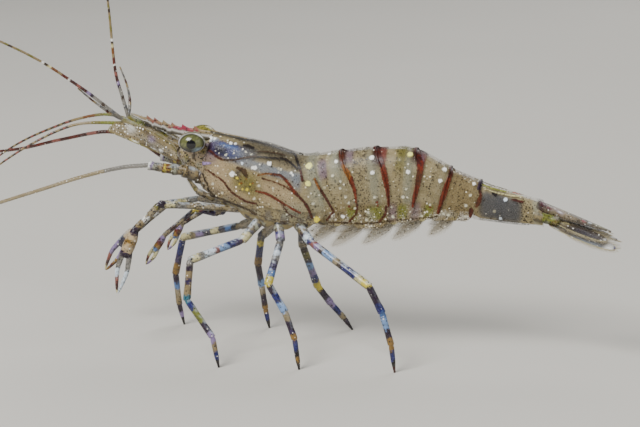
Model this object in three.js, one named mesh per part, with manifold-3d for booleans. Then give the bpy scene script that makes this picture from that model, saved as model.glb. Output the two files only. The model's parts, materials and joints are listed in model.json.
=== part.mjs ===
// A common prawn, Palaemon serratus, standing on its six walking legs: a still, life-size model.
//
// Millimetres, +Z up. The animal faces -X, so its left side is on -Y. While it is being built, x = 0 is
// just behind the carapace, y = 0 is the plane of symmetry and z = 0 is the floor under the feet. At the
// end the whole group is shifted so that its origin is the middle of its footprint on the floor.
// Places off the middle plane are given as [x, distance out, z] and used on either side.
// Every shell plate, limb and feeler is one closed solid with a thin cut to its neighbours.
import * as THREE from "three";
import { mergeVertices } from "three/addons/utils/BufferGeometryUtils.js";
import Module from "manifold-3d";

const wasm = await Module();
wasm.setup();

// ---------------------------------------------------------------- driving dimensions
const GAP = 0.3; // cut between neighbouring pieces
const WALL = 0.6; // side plates, fins and other thin walls
const LIMB_SIDES = 8;
const SLENDER_SIDES = 6; // feelers and small claws
const SIDES = { left: -1, right: 1 };

// Stations down the body: the back, the lower edge of the side plates (x, z each) and the half width.
const STATIONS = [
  { name: "orbit", back: [-17.3, 33.8], edge: [-18.7, 24.6], half: 2.7 },
  { name: "gill front", back: [-13.0, 33.1], edge: [-13.4, 23.0], half: 3.5 },
  { name: "gill middle", back: [-8.0, 32.2], edge: [-8.4, 21.2], half: 3.85 },
  { name: "gill rear", back: [-3.6, 30.9], edge: [-3.4, 20.5], half: 3.8 },
  { name: "carapace rear", back: [-0.6, 30.9], edge: [1.4, 20.7], half: 3.6 },
  { name: "segment 1 rear", back: [3.3, 31.5], edge: [5.2, 20.9], half: 3.5 },
  { name: "segment 2 rear", back: [8.7, 32.2], edge: [9.9, 21.2], half: 3.4 },
  { name: "segment 3 rear", back: [14.9, 32.2], edge: [14.3, 21.8], half: 3.1 },
  { name: "segment 4 rear", back: [20.2, 29.6], edge: [18.6, 22.3], half: 2.6 },
  { name: "segment 5 rear", back: [24.8, 27.7], edge: [24.2, 22.2], half: 2.05 },
  { name: "segment 6 rear", back: [33.9, 25.1], edge: [34.1, 21.4], half: 1.5 },
];
const CARAPACE_REAR = 4; // number of the station behind the carapace
const BROADEST = 0.42; // share of the depth at which a section is widest
const TUCK = 0.16; // how far the side plates lean in towards their lower edge
const BREAST_ROOF = 0.66; // share of the depth to which the carapace is open for the breast
const BREAST_DEPTH = [1.04, 1.14, 1.17, 1.12, 1.04]; // its underside at each carapace station, as a share
const BELLY = 0.76; // share of the depth at which the belly lies between the side plates
const BELLY_SHARE = 0.92; // how much of the space between the side plates is left at the belly
const FLANK_STEPS = 8; // points down each flank of a section

// Beak, in the middle plane: its upper and lower outline and the tips of its teeth.
const BEAK = {
  thickness: 0.6,
  cut: -17.75, // where the beak leaves the carapace
  top: [[-30.1, 36.1], [-27.5, 35.45], [-25.2, 34.85], [-23.0, 34.35], [-19.5, 34.0], [-12.6, 33.0]],
  keel: [[-30.1, 35.9], [-27.0, 34.2], [-23.5, 33.1], [-18.6, 32.4], [-12.6, 32.0]],
  teeth: [-27.5, -26.3, -24.9, -23.5, -21.8, -19.9, -17.0],
  keelTeeth: [-26.6, -24.2, -21.8],
  toothLength: 1.15,
  toothRise: 0.45,
};

// Front of the head between the eyes, as oval slices from back to front: top and bottom [x, z].
const BROW = [
  { top: [-17.95, 32.0], low: [-18.85, 26.4], half: 2.1 },
  { top: [-19.4, 32.3], low: [-20.0, 27.2], half: 2.0 },
  { top: [-21.2, 32.0], low: [-21.4, 28.2], half: 1.7 },
  { top: [-22.4, 31.4], low: [-22.4, 29.6], half: 1.0 },
];
const EYE = {
  centre: [-19.4, 3.2, 32.5],
  reach: [2.1, 1.75, 1.6],
  stalk: 0.8,
  stalkRoot: [-19.1, 0.9, 31.3],
};
const SHAFTS = {
  antennule: {
    joints: [[-22.7, 1.15, 31.3], [-26.4, 1.15, 33.0], [-28.8, 1.2, 34.1], [-30.8, 1.2, 35.0]],
    radii: [0.74, 0.68, 0.62],
  },
  antenna: {
    joints: [[-20.6, 2.8, 28.0], [-23.6, 3.2, 28.2], [-25.9, 3.6, 28.6]],
    radii: [0.8, 0.76],
  },
  mouth: {
    joints: [[-16.9, 1.2, 23.4], [-19.0, 2.0, 24.6], [-20.4, 2.1, 26.6]],
    radii: [0.5, 0.4],
  },
};
const ANTENNAL_SCALE = {
  root: [-21.9, 3.3, 29.55],
  tip: [-32.6, 4.6, 34.0],
  spread: [0, -0.5, 0.87],
  width: 2.8,
};

// Limbs: joints from the body outwards.
const WALKING_LEG_RADII = { thigh: [0.62, 0.56], shin: [0.52, 0.44, 0.34] };
const WALKING_LEGS = {
  left: {
    3: {
      thigh: [[-9.2, 1.7, 20.3], [-11.3, 4.0, 17.7], [-18.0, 10.0, 15.6]],
      shin: [[-18.0, 10.0, 15.6], [-18.2, 11.4, 9.8], [-13.8, 13.0, 4.6], [-12.8, 13.3, 0]],
    },
    4: {
      thigh: [[-6.2, 1.7, 20.2], [-5.4, 3.6, 17.8], [-6.2, 8.5, 12.2]],
      shin: [[-6.2, 8.5, 12.2], [-3.3, 10.0, 8.4], [-1.5, 11.3, 4.6], [-0.7, 11.8, 0]],
    },
    5: {
      thigh: [[-3.2, 1.7, 20.2], [-0.6, 4.2, 18.0], [9.4, 9.0, 12.8]],
      shin: [[9.4, 9.0, 12.8], [11.5, 9.6, 9.0], [13.0, 10.0, 4.2], [13.6, 10.2, 0]],
    },
  },
  right: {
    3: {
      thigh: [[-9.2, 1.7, 20.3], [-13.2, 2.9, 18.3], [-23.8, 6.0, 15.1]],
      shin: [[-23.8, 6.0, 15.1], [-25.4, 6.8, 8.8], [-25.0, 7.3, 3.4], [-24.3, 7.6, 0]],
    },
    4: {
      thigh: [[-6.2, 1.7, 20.2], [-10.2, 3.4, 16.6], [-11.5, 6.3, 11.2]],
      shin: [[-11.5, 6.3, 11.2], [-11.2, 7.5, 7.4], [-10.8, 8.2, 3.4], [-10.2, 8.5, 0]],
    },
    5: {
      thigh: [[-3.2, 1.7, 20.2], [-3.6, 3.9, 15.2], [-2.0, 7.5, 7.8]],
      shin: [[-2.0, 7.5, 7.8], [-0.1, 8.8, 4.7], [1.9, 9.9, 2.0], [3.2, 10.3, 0]],
    },
  },
};
const SLENDER_CLAW_RADII = [0.42, 0.42, 0.38];
const SLENDER_CLAWS = {
  left: [[-14.6, 1.2, 22.8], [-16.0, 2.4, 21.2], [-19.0, 3.3, 22.0], [-23.6, 4.5, 18.0], [-25.2, 4.6, 15.5]],
  right: [[-14.6, 1.2, 22.8], [-16.2, 2.1, 20.4], [-19.4, 2.6, 20.4], [-23.0, 3.0, 18.1], [-24.2, 3.1, 16.0]],
};
const SLENDER_FINGER = 2.6;
const BIG_ARM_RADII = [0.52, 0.58, 0.56];
const BIG_ARMS = {
  left: [[-12.0, 1.5, 21.9], [-18.6, 4.6, 22.8], [-23.8, 6.2, 23.2], [-27.5, 7.2, 19.2]],
  right: [[-12.0, 1.5, 21.9], [-20.5, 4.4, 22.0], [-26.2, 5.2, 20.6], [-31.4, 5.4, 16.2]],
};
const BIG_CLAWS = {
  left: { wrist: [-27.5, 7.2, 19.2], palmEnd: [-29.0, 7.7, 15.4], tip: [-30.3, 8.0, 9.5] },
  right: { wrist: [-31.4, 5.4, 16.2], palmEnd: [-34.0, 5.7, 13.6], tip: [-36.9, 6.0, 9.2] },
};
const PALM = { radius: 1.0, flatness: 0.72, fingerRadius: 0.42, spread: 0.62 };
const SMALL_PALM = { radius: 0.58, flatness: 0.8, fingerRadius: 0.3, spread: 0.34 };

// Feelers, as smooth curves through a few places.
const FEELER_RADIUS = { thick: 0.42, outer: 0.34, thin: 0.3, tip: 0.29 };
const ANTENNAE = {
  left: [
    [-26.3, 3.6, 28.7], [-30.6, 4.6, 28.3], [-36.3, 6.8, 27.0], [-43.3, 10.0, 24.9], [-56, 18, 21.4],
    [-70, 29, 18.8], [-83, 42, 17.6], [-93, 55, 18.0],
  ],
  right: [
    [-26.3, 3.6, 28.7], [-30.6, 3.8, 31.2], [-35.6, 4.2, 32.2], [-43.8, 5.2, 30.4], [-53, 8.5, 27.8],
    [-67, 15.5, 25.2], [-82, 26, 24.2], [-95, 38, 25.2],
  ],
};
const ANTENNA_CUT = 0.45; // share of each antenna in its first length
const OUTER_FEELERS = {
  left: [
    [-31.1, 1.4, 35.5], [-33.4, 2.0, 37.3], [-37.2, 3.0, 40.4], [-44.0, 6.0, 45.5], [-55, 12.5, 52.0],
  ],
  right: [
    [-31.1, 1.4, 35.5], [-32.2, 2.2, 38.4], [-33.6, 3.2, 42.6], [-35.0, 5.0, 52.0], [-36.6, 6.8, 60.0],
  ],
};
const SHORT_FEELERS = {
  left: [[-31.1, 1.4, 35.5], [-33.0, 1.6, 36.3], [-35.6, 2.0, 38.2], [-37.8, 2.6, 40.2]],
  right: [[-31.1, 1.4, 35.5], [-31.0, 2.4, 37.4], [-31.7, 3.2, 40.0], [-33.0, 3.8, 42.8]],
};
const INNER_FEELERS = {
  left: [
    [-31.35, 1.1, 34.6], [-36.8, 2.5, 34.7], [-40.7, 3.0, 33.6], [-45.4, 4.0, 31.2], [-50.0, 5.0, 28.2],
    [-54.5, 6.5, 24.6],
  ],
  right: [
    [-31.35, 1.1, 34.7], [-34.6, 1.5, 35.5], [-39.2, 2.0, 34.6], [-43.8, 3.0, 32.9], [-49.3, 4.0, 30.4],
    [-54.1, 5.0, 27.5], [-58.5, 6.5, 24.0],
  ],
};

// Tail: the telson's line and sections, and the paddles of the fan beside it.
const TELSON = {
  root: [34.35, 0, 24.35],
  tip: [44.4, 0, 20.85],
  profile: [
    { at: 0, half: 1.15, thick: 0.85 },
    { at: 0.25, half: 1.2, thick: 0.7 },
    { at: 0.65, half: 0.85, thick: 0.45 },
    { at: 0.95, half: 0.5, thick: 0.3 },
    { at: 1, half: 0.25, thick: 0.27 },
  ],
};
const FAN = {
  way: [0.96, 0.03, -0.28],
  spread: [0, 0.95, -0.31],
  stem: { joints: [[34.6, 1.05, 22.6], [36.5, 1.45, 22.1]], radius: 0.62 },
  paddles: [
    { root: [35.4, 0.8, 22.2], length: 10.4, width: 2.7 },
    { root: [35.4, 0.4, 22.75], length: 9.0, width: 2.1 },
  ],
};
const SWIMMERET = {
  stem: 0.3,
  hip: 0.45,
  reach: [0.86, 0.95, 0.92, 0.86, 0.72], // relative size of the five pairs
  sweep: [-0.89, 0, -0.46],
  paddle: [
    { at: [-1.6, 0.2, -1.0], radius: 0.78 },
    { at: [-3.8, 0.3, -2.1], radius: 0.85 },
    { at: [-6.2, 0.3, -3.2], radius: 0.45 },
  ],
  flatness: 0.34,
};

// ---------------------------------------------------------------- vectors, rings and solids
const vector = ([x, y, z]) => new THREE.Vector3(x, y, z);
const placed = ([x, out, z], side) => new THREE.Vector3(x, side * out, z);
const middleOf = (points) =>
  points.reduce((sum, p) => sum.add(p), new THREE.Vector3()).divideScalar(points.length);

// The direction a ring of points turns about, as long as its area.
function ringNormal(ring) {
  const normal = new THREE.Vector3();
  ring.forEach((p, i) => normal.add(p.clone().cross(ring[(i + 1) % ring.length])));
  return normal;
}

// The triangles that close a flat ring, facing the way that outward points.
function capTriangles(ring, outward) {
  const normal = ringNormal(ring).normalize();
  const along = ring[1].clone().sub(ring[0]).normalize();
  const across = normal.clone().cross(along);
  const flat = ring.map((p) => new THREE.Vector2(p.dot(along), p.dot(across)));
  return THREE.ShapeUtils.triangulateShape(flat, []).map(([a, b, c]) => {
    const facing = ring[b].clone().sub(ring[a]).cross(ring[c].clone().sub(ring[a]));
    return facing.dot(outward) < 0 ? [a, c, b] : [a, b, c];
  });
}

// A closed solid through rings with equal numbers of points.
function loft(rings) {
  const count = rings[0].length;
  const heading = middleOf(rings[1]).sub(middleOf(rings[0]));
  const turned = ringNormal(rings[0]).dot(heading) < 0;
  const ordered = turned ? rings.map((ring) => [...ring].reverse()) : rings;
  const index = [];
  for (let r = 0; r + 1 < ordered.length; r += 1) {
    for (let i = 0; i < count; i += 1) {
      const here = r * count + i;
      const beside = r * count + ((i + 1) % count);
      index.push(here, beside, here + count, beside, beside + count, here + count);
    }
  }
  const last = ordered.length - 1;
  const tailHeading = middleOf(ordered[last]).sub(middleOf(ordered[last - 1]));
  capTriangles(ordered[0], heading.negate()).forEach((t) => index.push(...t));
  capTriangles(ordered[last], tailHeading).forEach((t) => index.push(...t.map((i) => i + last * count)));
  const positions = ordered.flat().flatMap((p) => p.toArray());
  return new THREE.BufferGeometry()
    .setAttribute("position", new THREE.Float32BufferAttribute(positions, 3))
    .setIndex(index);
}

// A geometry as a manifold-3d solid, for joining and cutting.
function solidOf(geometry) {
  const bare = geometry.clone();
  ["normal", "uv"].forEach((name) => bare.deleteAttribute(name));
  const merged = mergeVertices(bare, 1e-4);
  return new wasm.Manifold(
    new wasm.Mesh({
      numProp: 3,
      vertProperties: new Float32Array(merged.attributes.position.array),
      triVerts: new Uint32Array(merged.index.array),
    }),
  );
}

// A manifold-3d solid as a geometry.
function geometryOf(solid) {
  const mesh = solid.getMesh();
  return new THREE.BufferGeometry()
    .setAttribute("position", new THREE.BufferAttribute(mesh.vertProperties.slice(), 3))
    .setIndex(new THREE.BufferAttribute(mesh.triVerts.slice(), 1));
}

const joined = (...geometries) => geometryOf(geometries.map(solidOf).reduce((a, b) => a.add(b)));
const carved = (geometry, ...tools) =>
  geometryOf(tools.map(solidOf).reduce((a, b) => a.subtract(b), solidOf(geometry)));

// One round or oval ring about a point, square to a direction. The reference direction fixes its turn.
function ringAbout(centre, direction, radius, sides, reference, flatness = 1) {
  const side = reference.clone().cross(direction).normalize();
  const rise = direction.clone().cross(side).normalize();
  return Array.from({ length: sides }, (_, i) => {
    const angle = (i / sides) * 2 * Math.PI;
    return centre
      .clone()
      .addScaledVector(side, Math.cos(angle) * radius)
      .addScaledVector(rise, Math.sin(angle) * radius * flatness);
  });
}

// A jointed limb, waisted at its joints unless it is plain. On the floor its tip is cut flat at z = 0.
function limb(joints, radii, { sides = LIMB_SIDES, plain = false, onFloor = false } = {}) {
  const reference = new THREE.Vector3(0, 1, 0);
  const waist = plain ? 1 : 0.84;
  const rings = [];
  const directions = radii.map((_, i) => joints[i + 1].clone().sub(joints[i]).normalize());
  radii.forEach((radius, i) => {
    const ringAt = (share, size, direction = directions[i]) =>
      ringAbout(joints[i].clone().lerp(joints[i + 1], share), direction, size, sides, reference);
    const bend = i ? directions[i - 1].clone().add(directions[i]).normalize() : directions[i];
    rings.push(ringAt(0, radius * waist, bend));
    if (!plain) rings.push(ringAt(0.16, radius), ringAt(0.86, radius * 0.94));
  });
  const end = radii.length - 1;
  const tip = joints[end + 1];
  const tipRing = ringAbout(tip, directions[end], radii[end] * waist, sides, reference);
  if (onFloor) {
    const way = directions[end];
    tipRing.forEach((p) => p.addScaledVector(way, -p.z / way.z));
  }
  rings.push(tipRing);
  return loft(rings);
}

// A tapering feeler along a smooth curve, between two shares of its length.
function feeler(places, thickness, { from = 0, to = 1, steps = 12 } = {}) {
  const curve = new THREE.CatmullRomCurve3(places);
  const reference = new THREE.Vector3(0, 0, 1);
  const rings = Array.from({ length: steps + 1 }, (_, i) => {
    const share = from + ((to - from) * i) / steps;
    const radius = THREE.MathUtils.lerp(thickness, FEELER_RADIUS.tip, share);
    const direction = curve.getTangentAt(share);
    const steady = Math.abs(direction.z) > 0.9 ? new THREE.Vector3(0, 1, 0) : reference;
    return ringAbout(curve.getPointAt(share), direction, radius, SLENDER_SIDES, steady);
  });
  return loft(rings);
}

// A round plug along the start of a limb, a gap wider all round, which cuts its socket.
function socket(from, towards, radius) {
  const direction = towards.clone().sub(from).normalize();
  const reference = new THREE.Vector3(0, 1, 0);
  const start = from.clone().addScaledVector(direction, -GAP);
  return loft([
    ringAbout(start, direction, radius + GAP, LIMB_SIDES, reference),
    ringAbout(towards, direction, radius + GAP, LIMB_SIDES, reference),
  ]);
}

const moved = (from, towards, distance) =>
  from.clone().addScaledVector(towards.clone().sub(from).normalize(), distance);

// ---------------------------------------------------------------- the body's own shape
const smoothThrough = (points) => new THREE.CatmullRomCurve3(points, false, "catmullrom", 0.5);
const backLine = smoothThrough(STATIONS.map((s) => new THREE.Vector3(s.back[0], 0, s.back[1])));
const edgeLine = smoothThrough(STATIONS.map((s) => new THREE.Vector3(s.edge[0], 0, s.edge[1])));
const widthLine = smoothThrough(STATIONS.map((s, i) => new THREE.Vector3(i, s.half, 0)));

// Back point, edge point and half width at a place between stations, such as 2.5.
function stationAt(place) {
  const share = place / (STATIONS.length - 1);
  return {
    back: backLine.getPoint(share),
    edge: edgeLine.getPoint(share),
    half: widthLine.getPoint(share).y,
  };
}

// How far down and out a point on the flank lies, from 0 at the back to 1 at the lower edge.
function flank(share) {
  if (share <= 0.5) {
    const angle = share * Math.PI;
    return { down: BROADEST * (1 - Math.cos(angle)), out: Math.sin(angle) ** 0.9 };
  }
  const low = (share - 0.5) * 2;
  return { down: BROADEST + (1 - BROADEST) * low, out: 1 - TUCK * low * low };
}

// Half the space between the side plates, for a section of some half width.
const innerWidth = (half) => half * (1 - TUCK) - WALL;

// An arched section: the flanks outside, and the belly between the side plates inside.
function archRing(place, { depth = 1, swell = 1, roof = BELLY } = {}) {
  const { back, edge, half } = stationAt(place);
  const down = edge.clone().sub(back);
  const at = (share, y) => {
    const p = back.clone().addScaledVector(down, share);
    p.y = y;
    return p;
  };
  const outer = [];
  for (let i = -FLANK_STEPS; i <= FLANK_STEPS; i += 1) {
    const f = flank(Math.abs(i) / FLANK_STEPS);
    outer.push(at(f.down * depth, Math.sign(i) * f.out * half * swell));
  }
  const inside = innerWidth(half * swell);
  const belly = inside * BELLY_SHARE;
  return [...outer, at(depth, inside), at(roof * depth, belly), at(roof * depth, -belly), at(depth, -inside)];
}

// Share of a station step that makes half a cut.
function halfCut(place) {
  const ahead = stationAt(Math.min(place + 0.5, STATIONS.length - 1));
  const behind = stationAt(Math.max(place - 0.5, 0));
  return GAP / 2 / ahead.back.distanceTo(behind.back);
}

// ---------------------------------------------------------------- beak and carapace
// Height of a line given as [x, z] pairs, at some x.
function heightAt(line, x) {
  const next = line.findIndex(([at]) => at >= x);
  const [[x0, z0], [x1, z1]] = [line[Math.max(next, 1) - 1], line[Math.max(next, 1)]];
  return z0 + ((z1 - z0) * (x - x0)) / (x1 - x0);
}

// The blade of the beak in the middle plane, tip bent up, with teeth that point forwards.
function blade() {
  const tooth = (line, x, rise) => {
    const back = x + BEAK.toothLength;
    const front = x + BEAK.toothLength * 0.15;
    return [[front, heightAt(line, front)], [x, heightAt(line, x) + rise], [back, heightAt(line, back)]];
  };
  const top = BEAK.teeth.flatMap((x) => tooth(BEAK.top, x, BEAK.toothRise));
  const keel = BEAK.keelTeeth.flatMap((x) => tooth(BEAK.keel, x, -BEAK.toothRise * 0.7));
  const outline = [BEAK.top[0], ...top, BEAK.top.at(-1), ...BEAK.keel.slice(3).reverse(), ...keel.reverse()];
  outline.push(BEAK.keel[0]);
  const shape = new THREE.Shape(outline.map(([x, z]) => new THREE.Vector2(x, z)));
  const sheet = new THREE.ExtrudeGeometry(shape, { depth: BEAK.thickness, bevelEnabled: false });
  return sheet.rotateX(Math.PI / 2).translate(0, BEAK.thickness / 2, 0);
}

// A block that holds everything on one side of a cut across the beak.
function blockBeyond(x, way) {
  const size = 40;
  return new THREE.BoxGeometry(size, size, size).translate(x + (way * size) / 2, 0, 35);
}

const bladeBeyond = (x, way) => geometryOf(solidOf(blade()).intersect(solidOf(blockBeyond(x, way))));

function carapace() {
  const steps = 12;
  const end = CARAPACE_REAR - halfCut(CARAPACE_REAR);
  const rings = Array.from({ length: steps + 1 }, (_, i) => {
    const share = i / steps;
    const rounding = 0.06 * (1 - share) ** 3 + 0.05 * share ** 6;
    return archRing(end * share, { depth: 1 - rounding, swell: 0.97 + 0.03 * share, roof: BREAST_ROOF });
  });
  return joined(loft(rings), bladeBeyond(BEAK.cut + GAP / 2, 1));
}

// The underside that carries the legs, set into the carapace from below.
function breast() {
  const rings = [];
  for (let place = 0.12; place <= 3.9; place += 0.47) {
    const { back, edge, half } = stationAt(place);
    const down = edge.clone().sub(back);
    const station = Math.floor(place);
    const low = THREE.MathUtils.lerp(BREAST_DEPTH[station], BREAST_DEPTH[station + 1], place - station);
    const top = BREAST_ROOF + GAP / down.length();
    const out = innerWidth(half * 0.97) * BELLY_SHARE - GAP;
    const corners = 12;
    rings.push(
      Array.from({ length: corners }, (_, i) => {
        const angle = (i / corners) * 2 * Math.PI;
        const round = (value) => Math.sign(value) * Math.abs(value) ** 0.7;
        const share = (top + low) / 2 - (round(Math.cos(angle)) * (low - top)) / 2;
        const p = back.clone().addScaledVector(down, share);
        p.y = round(Math.sin(angle)) * out;
        return p;
      }),
    );
  }
  return loft(rings);
}

// The front of the head, between the eyes, which the feelers and the eye stalks grow from.
function brow() {
  const corners = 14;
  return loft(
    BROW.map(({ top, low, half }) =>
      Array.from({ length: corners }, (_, i) => {
        const angle = (i / corners) * 2 * Math.PI;
        const share = (1 - Math.cos(angle)) / 2;
        return new THREE.Vector3(
          THREE.MathUtils.lerp(top[0], low[0], share),
          Math.sin(angle) * half,
          THREE.MathUtils.lerp(top[1], low[1], share),
        );
      }),
    ),
  );
}

// ---------------------------------------------------------------- eyes and feelers
const stalkEnds = (side) => [placed(EYE.stalkRoot, side), placed(EYE.centre, side)];

// The eye's globe, with room left around it where it cuts a socket.
const globe = (side, room = 0) =>
  new THREE.SphereGeometry(1, 12, 8)
    .scale(...EYE.reach.map((reach) => reach + room))
    .translate(...placed(EYE.centre, side).toArray());

const eye = (side) => joined(globe(side), limb(stalkEnds(side), [EYE.stalk], { plain: true }));

const shaftJoints = (name, side) => SHAFTS[name].joints.map((p) => placed(p, side));
const shaft = (name, side) => limb(shaftJoints(name, side), SHAFTS[name].radii, { plain: true });

// A flat leaf set in space: it lies along one direction and spreads towards another.
function leaf(outline, root, along, spread, thickness = WALL) {
  const normal = along.clone().cross(spread).normalize();
  const across = normal.clone().cross(along).normalize();
  const sheet = new THREE.ExtrudeGeometry(outline, {
    depth: thickness,
    bevelEnabled: false,
    curveSegments: 4,
  });
  sheet.translate(0, 0, -thickness / 2);
  const basis = new THREE.Matrix4().makeBasis(along.clone().normalize(), across, normal).setPosition(root);
  return sheet.applyMatrix4(basis);
}

// The antennal scale: straight outer rim ending in a spine, rounded blade inside it.
function scaleOutline(length, width) {
  const shape = new THREE.Shape();
  shape.moveTo(0, 0);
  shape.lineTo(length * 0.93, 0);
  shape.lineTo(length * 0.985, 0.1);
  shape.quadraticCurveTo(length * 1.01, width * 0.55, length * 0.86, width * 0.84);
  shape.quadraticCurveTo(length * 0.5, width * 1.16, length * 0.12, width * 0.72);
  shape.quadraticCurveTo(0, width * 0.5, 0, 0);
  return shape;
}

// A narrow leaf with round ends, for the paddles of the tail and belly.
function paddleOutline(length, width) {
  const shape = new THREE.Shape();
  shape.moveTo(0, 0);
  shape.quadraticCurveTo(length * 0.3, -width * 0.12, length * 0.8, width * 0.02);
  shape.quadraticCurveTo(length * 1.02, width * 0.2, length, width * 0.6);
  shape.quadraticCurveTo(length * 0.94, width * 1.02, length * 0.66, width);
  shape.quadraticCurveTo(length * 0.25, width * 0.95, 0, width * 0.42);
  return shape;
}

function antennalScale(side) {
  const { root, tip, spread, width } = ANTENNAL_SCALE;
  const along = placed(tip, side).sub(placed(root, side));
  return leaf(scaleOutline(along.length(), width), placed(root, side), along, placed(spread, side));
}

// The outer pair of the small feelers forks at its base into a long and a short rod.
function outerFeelers(name, side) {
  const long = feeler(OUTER_FEELERS[name].map((p) => placed(p, side)), FEELER_RADIUS.outer);
  const short = feeler(SHORT_FEELERS[name].map((p) => placed(p, side)), FEELER_RADIUS.outer, { steps: 5 });
  return joined(long, short);
}

// ---------------------------------------------------------------- claws and legs
// A claw: the palm, then two fingers that part and meet again near their tips.
function claw(wrist, palmEnd, tip, { radius, flatness, fingerRadius, spread }) {
  const along = palmEnd.clone().sub(wrist).normalize();
  const reference = new THREE.Vector3(0, 1, 0);
  const apart = reference.clone().cross(along).normalize();
  const ring = (share, size) =>
    ringAbout(wrist.clone().lerp(palmEnd, share), along, size, LIMB_SIDES, reference, flatness);
  const palm = loft([
    ring(0.07, radius * 0.6),
    ring(0.3, radius),
    ring(0.85, radius),
    ring(1.08, radius * 0.7),
  ]);
  const fingers = [-1, 1].map((way) => {
    const root = wrist.clone().lerp(palmEnd, 0.9).addScaledVector(apart, way * spread * 0.8);
    const bow = palmEnd.clone().lerp(tip, 0.5).addScaledVector(apart, way * spread * 1.25);
    const end = tip.clone().addScaledVector(apart, way * spread * 0.62);
    return limb([root, bow, end], [fingerRadius, fingerRadius * 0.8], { sides: SLENDER_SIDES, plain: true });
  });
  return joined(palm, ...fingers);
}

const bigClaw = (name, side) => {
  const { wrist, palmEnd, tip } = BIG_CLAWS[name];
  return claw(placed(wrist, side), placed(palmEnd, side), placed(tip, side), PALM);
};

// The arm behind the big claw, cut short of its wrist.
function bigArm(name, side) {
  const joints = BIG_ARMS[name].map((p) => placed(p, side));
  joints[3] = moved(joints[3], joints[2], GAP);
  return limb(joints, BIG_ARM_RADII);
}

// The slender first leg with its small claw, in one piece.
function slenderLeg(name, side) {
  const joints = SLENDER_CLAWS[name].map((p) => placed(p, side));
  const [wrist, palmEnd] = joints.slice(-2);
  const tip = moved(palmEnd, palmEnd.clone().multiplyScalar(2).sub(wrist), SLENDER_FINGER);
  const arm = limb(joints.slice(0, -1), SLENDER_CLAW_RADII, { sides: SLENDER_SIDES, plain: true });
  return joined(arm, claw(moved(wrist, palmEnd, -0.3), palmEnd, tip, SMALL_PALM));
}

// ---------------------------------------------------------------- tail and swimmerets
function segment(number) {
  const start = CARAPACE_REAR + number - 1;
  const from = start + halfCut(start);
  const to = start + 1 - halfCut(start + 1);
  const steps = 4;
  const rings = Array.from({ length: steps + 1 }, (_, i) => {
    const share = i / steps;
    const lobe = 1 - 0.15 * Math.abs(2 * share - 1) ** 3;
    return archRing(from + (to - from) * share, { depth: lobe, swell: 0.965 + 0.035 * share });
  });
  return loft(rings);
}

// The last segment is a closed tube, oval in section.
function lastSegment() {
  const from = STATIONS.length - 2 + halfCut(STATIONS.length - 2);
  const to = STATIONS.length - 1 - 0.03;
  const corners = 16;
  const steps = 6;
  return loft(
    Array.from({ length: steps + 1 }, (_, i) => {
      const { back, edge, half } = stationAt(from + ((to - from) * i) / steps);
      return Array.from({ length: corners }, (_unused, k) => {
        const angle = (k / corners) * 2 * Math.PI;
        const p = back.clone().lerp(edge, (1 - Math.cos(angle)) / 2);
        p.y = Math.sin(angle) * half;
        return p;
      });
    }),
  );
}

function telson() {
  const root = vector(TELSON.root);
  const tip = vector(TELSON.tip);
  const way = tip.clone().sub(root).normalize();
  const across = new THREE.Vector3(0, 1, 0);
  return loft(
    TELSON.profile.map(({ at, half, thick }) =>
      ringAbout(root.clone().lerp(tip, at), way, thick, 12, across).map((p) => p.setY((p.y * half) / thick)),
    ),
  );
}

// One side of the tail fan: a short stem that carries an outer and an inner paddle.
function tailFan(side) {
  const stem = limb(FAN.stem.joints.map((p) => placed(p, side)), [FAN.stem.radius]);
  const paddles = FAN.paddles.map(({ root, length, width }) =>
    leaf(paddleOutline(length, width), placed(root, side), placed(FAN.way, side), placed(FAN.spread, side)),
  );
  return joined(stem, ...paddles);
}

// A swimmeret: a stem between the side plates, then a soft flat paddle swept forwards.
function swimmeret(number, side) {
  const { back, edge, half } = stationAt(CARAPACE_REAR + number - 0.5);
  const reach = SWIMMERET.reach[number - 1];
  const out = side * (innerWidth(half) * BELLY_SHARE - GAP - SWIMMERET.stem);
  const top = back.clone().lerp(edge, BELLY + 0.05).setY(out);
  const foot = edge.clone().setY(out + side * 0.1);
  const across = new THREE.Vector3(0, 1, 0);
  const stemWay = foot.clone().sub(top).normalize();
  const sweep = vector(SWIMMERET.sweep).normalize();
  const bend = stemWay.clone().add(sweep).normalize();
  const paddle = SWIMMERET.paddle.map(({ at, radius }) => {
    const centre = foot.clone().add(placed(at, side).multiplyScalar(reach));
    return ringAbout(centre, sweep, radius * reach, LIMB_SIDES, across).map((p) =>
      p.setY(centre.y + (p.y - centre.y) * SWIMMERET.flatness),
    );
  });
  return loft([
    ringAbout(top, stemWay, SWIMMERET.stem, LIMB_SIDES, across),
    ringAbout(foot, bend, SWIMMERET.hip, LIMB_SIDES, across),
    ...paddle,
  ]);
}

// ---------------------------------------------------------------- finishes
const finish = (color, roughness, extra = {}) =>
  new THREE.MeshStandardMaterial({ color, roughness, metalness: 0, ...extra });
const FINISHES = {
  shell: finish(0xa39a80, 0.28, { transparent: true, opacity: 0.85 }),
  fin: finish(0x9b9a8c, 0.3, { transparent: true, opacity: 0.6 }),
  leg: finish(0x7c7a86, 0.35),
  feeler: finish(0x9a9078, 0.4),
  eye: finish(0x3b4030, 0.12),
};

const shrimp = new THREE.Group();

function add(name, geometry, material) {
  const mesh = new THREE.Mesh(geometry, material);
  mesh.name = name;
  shrimp.add(mesh);
}

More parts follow.
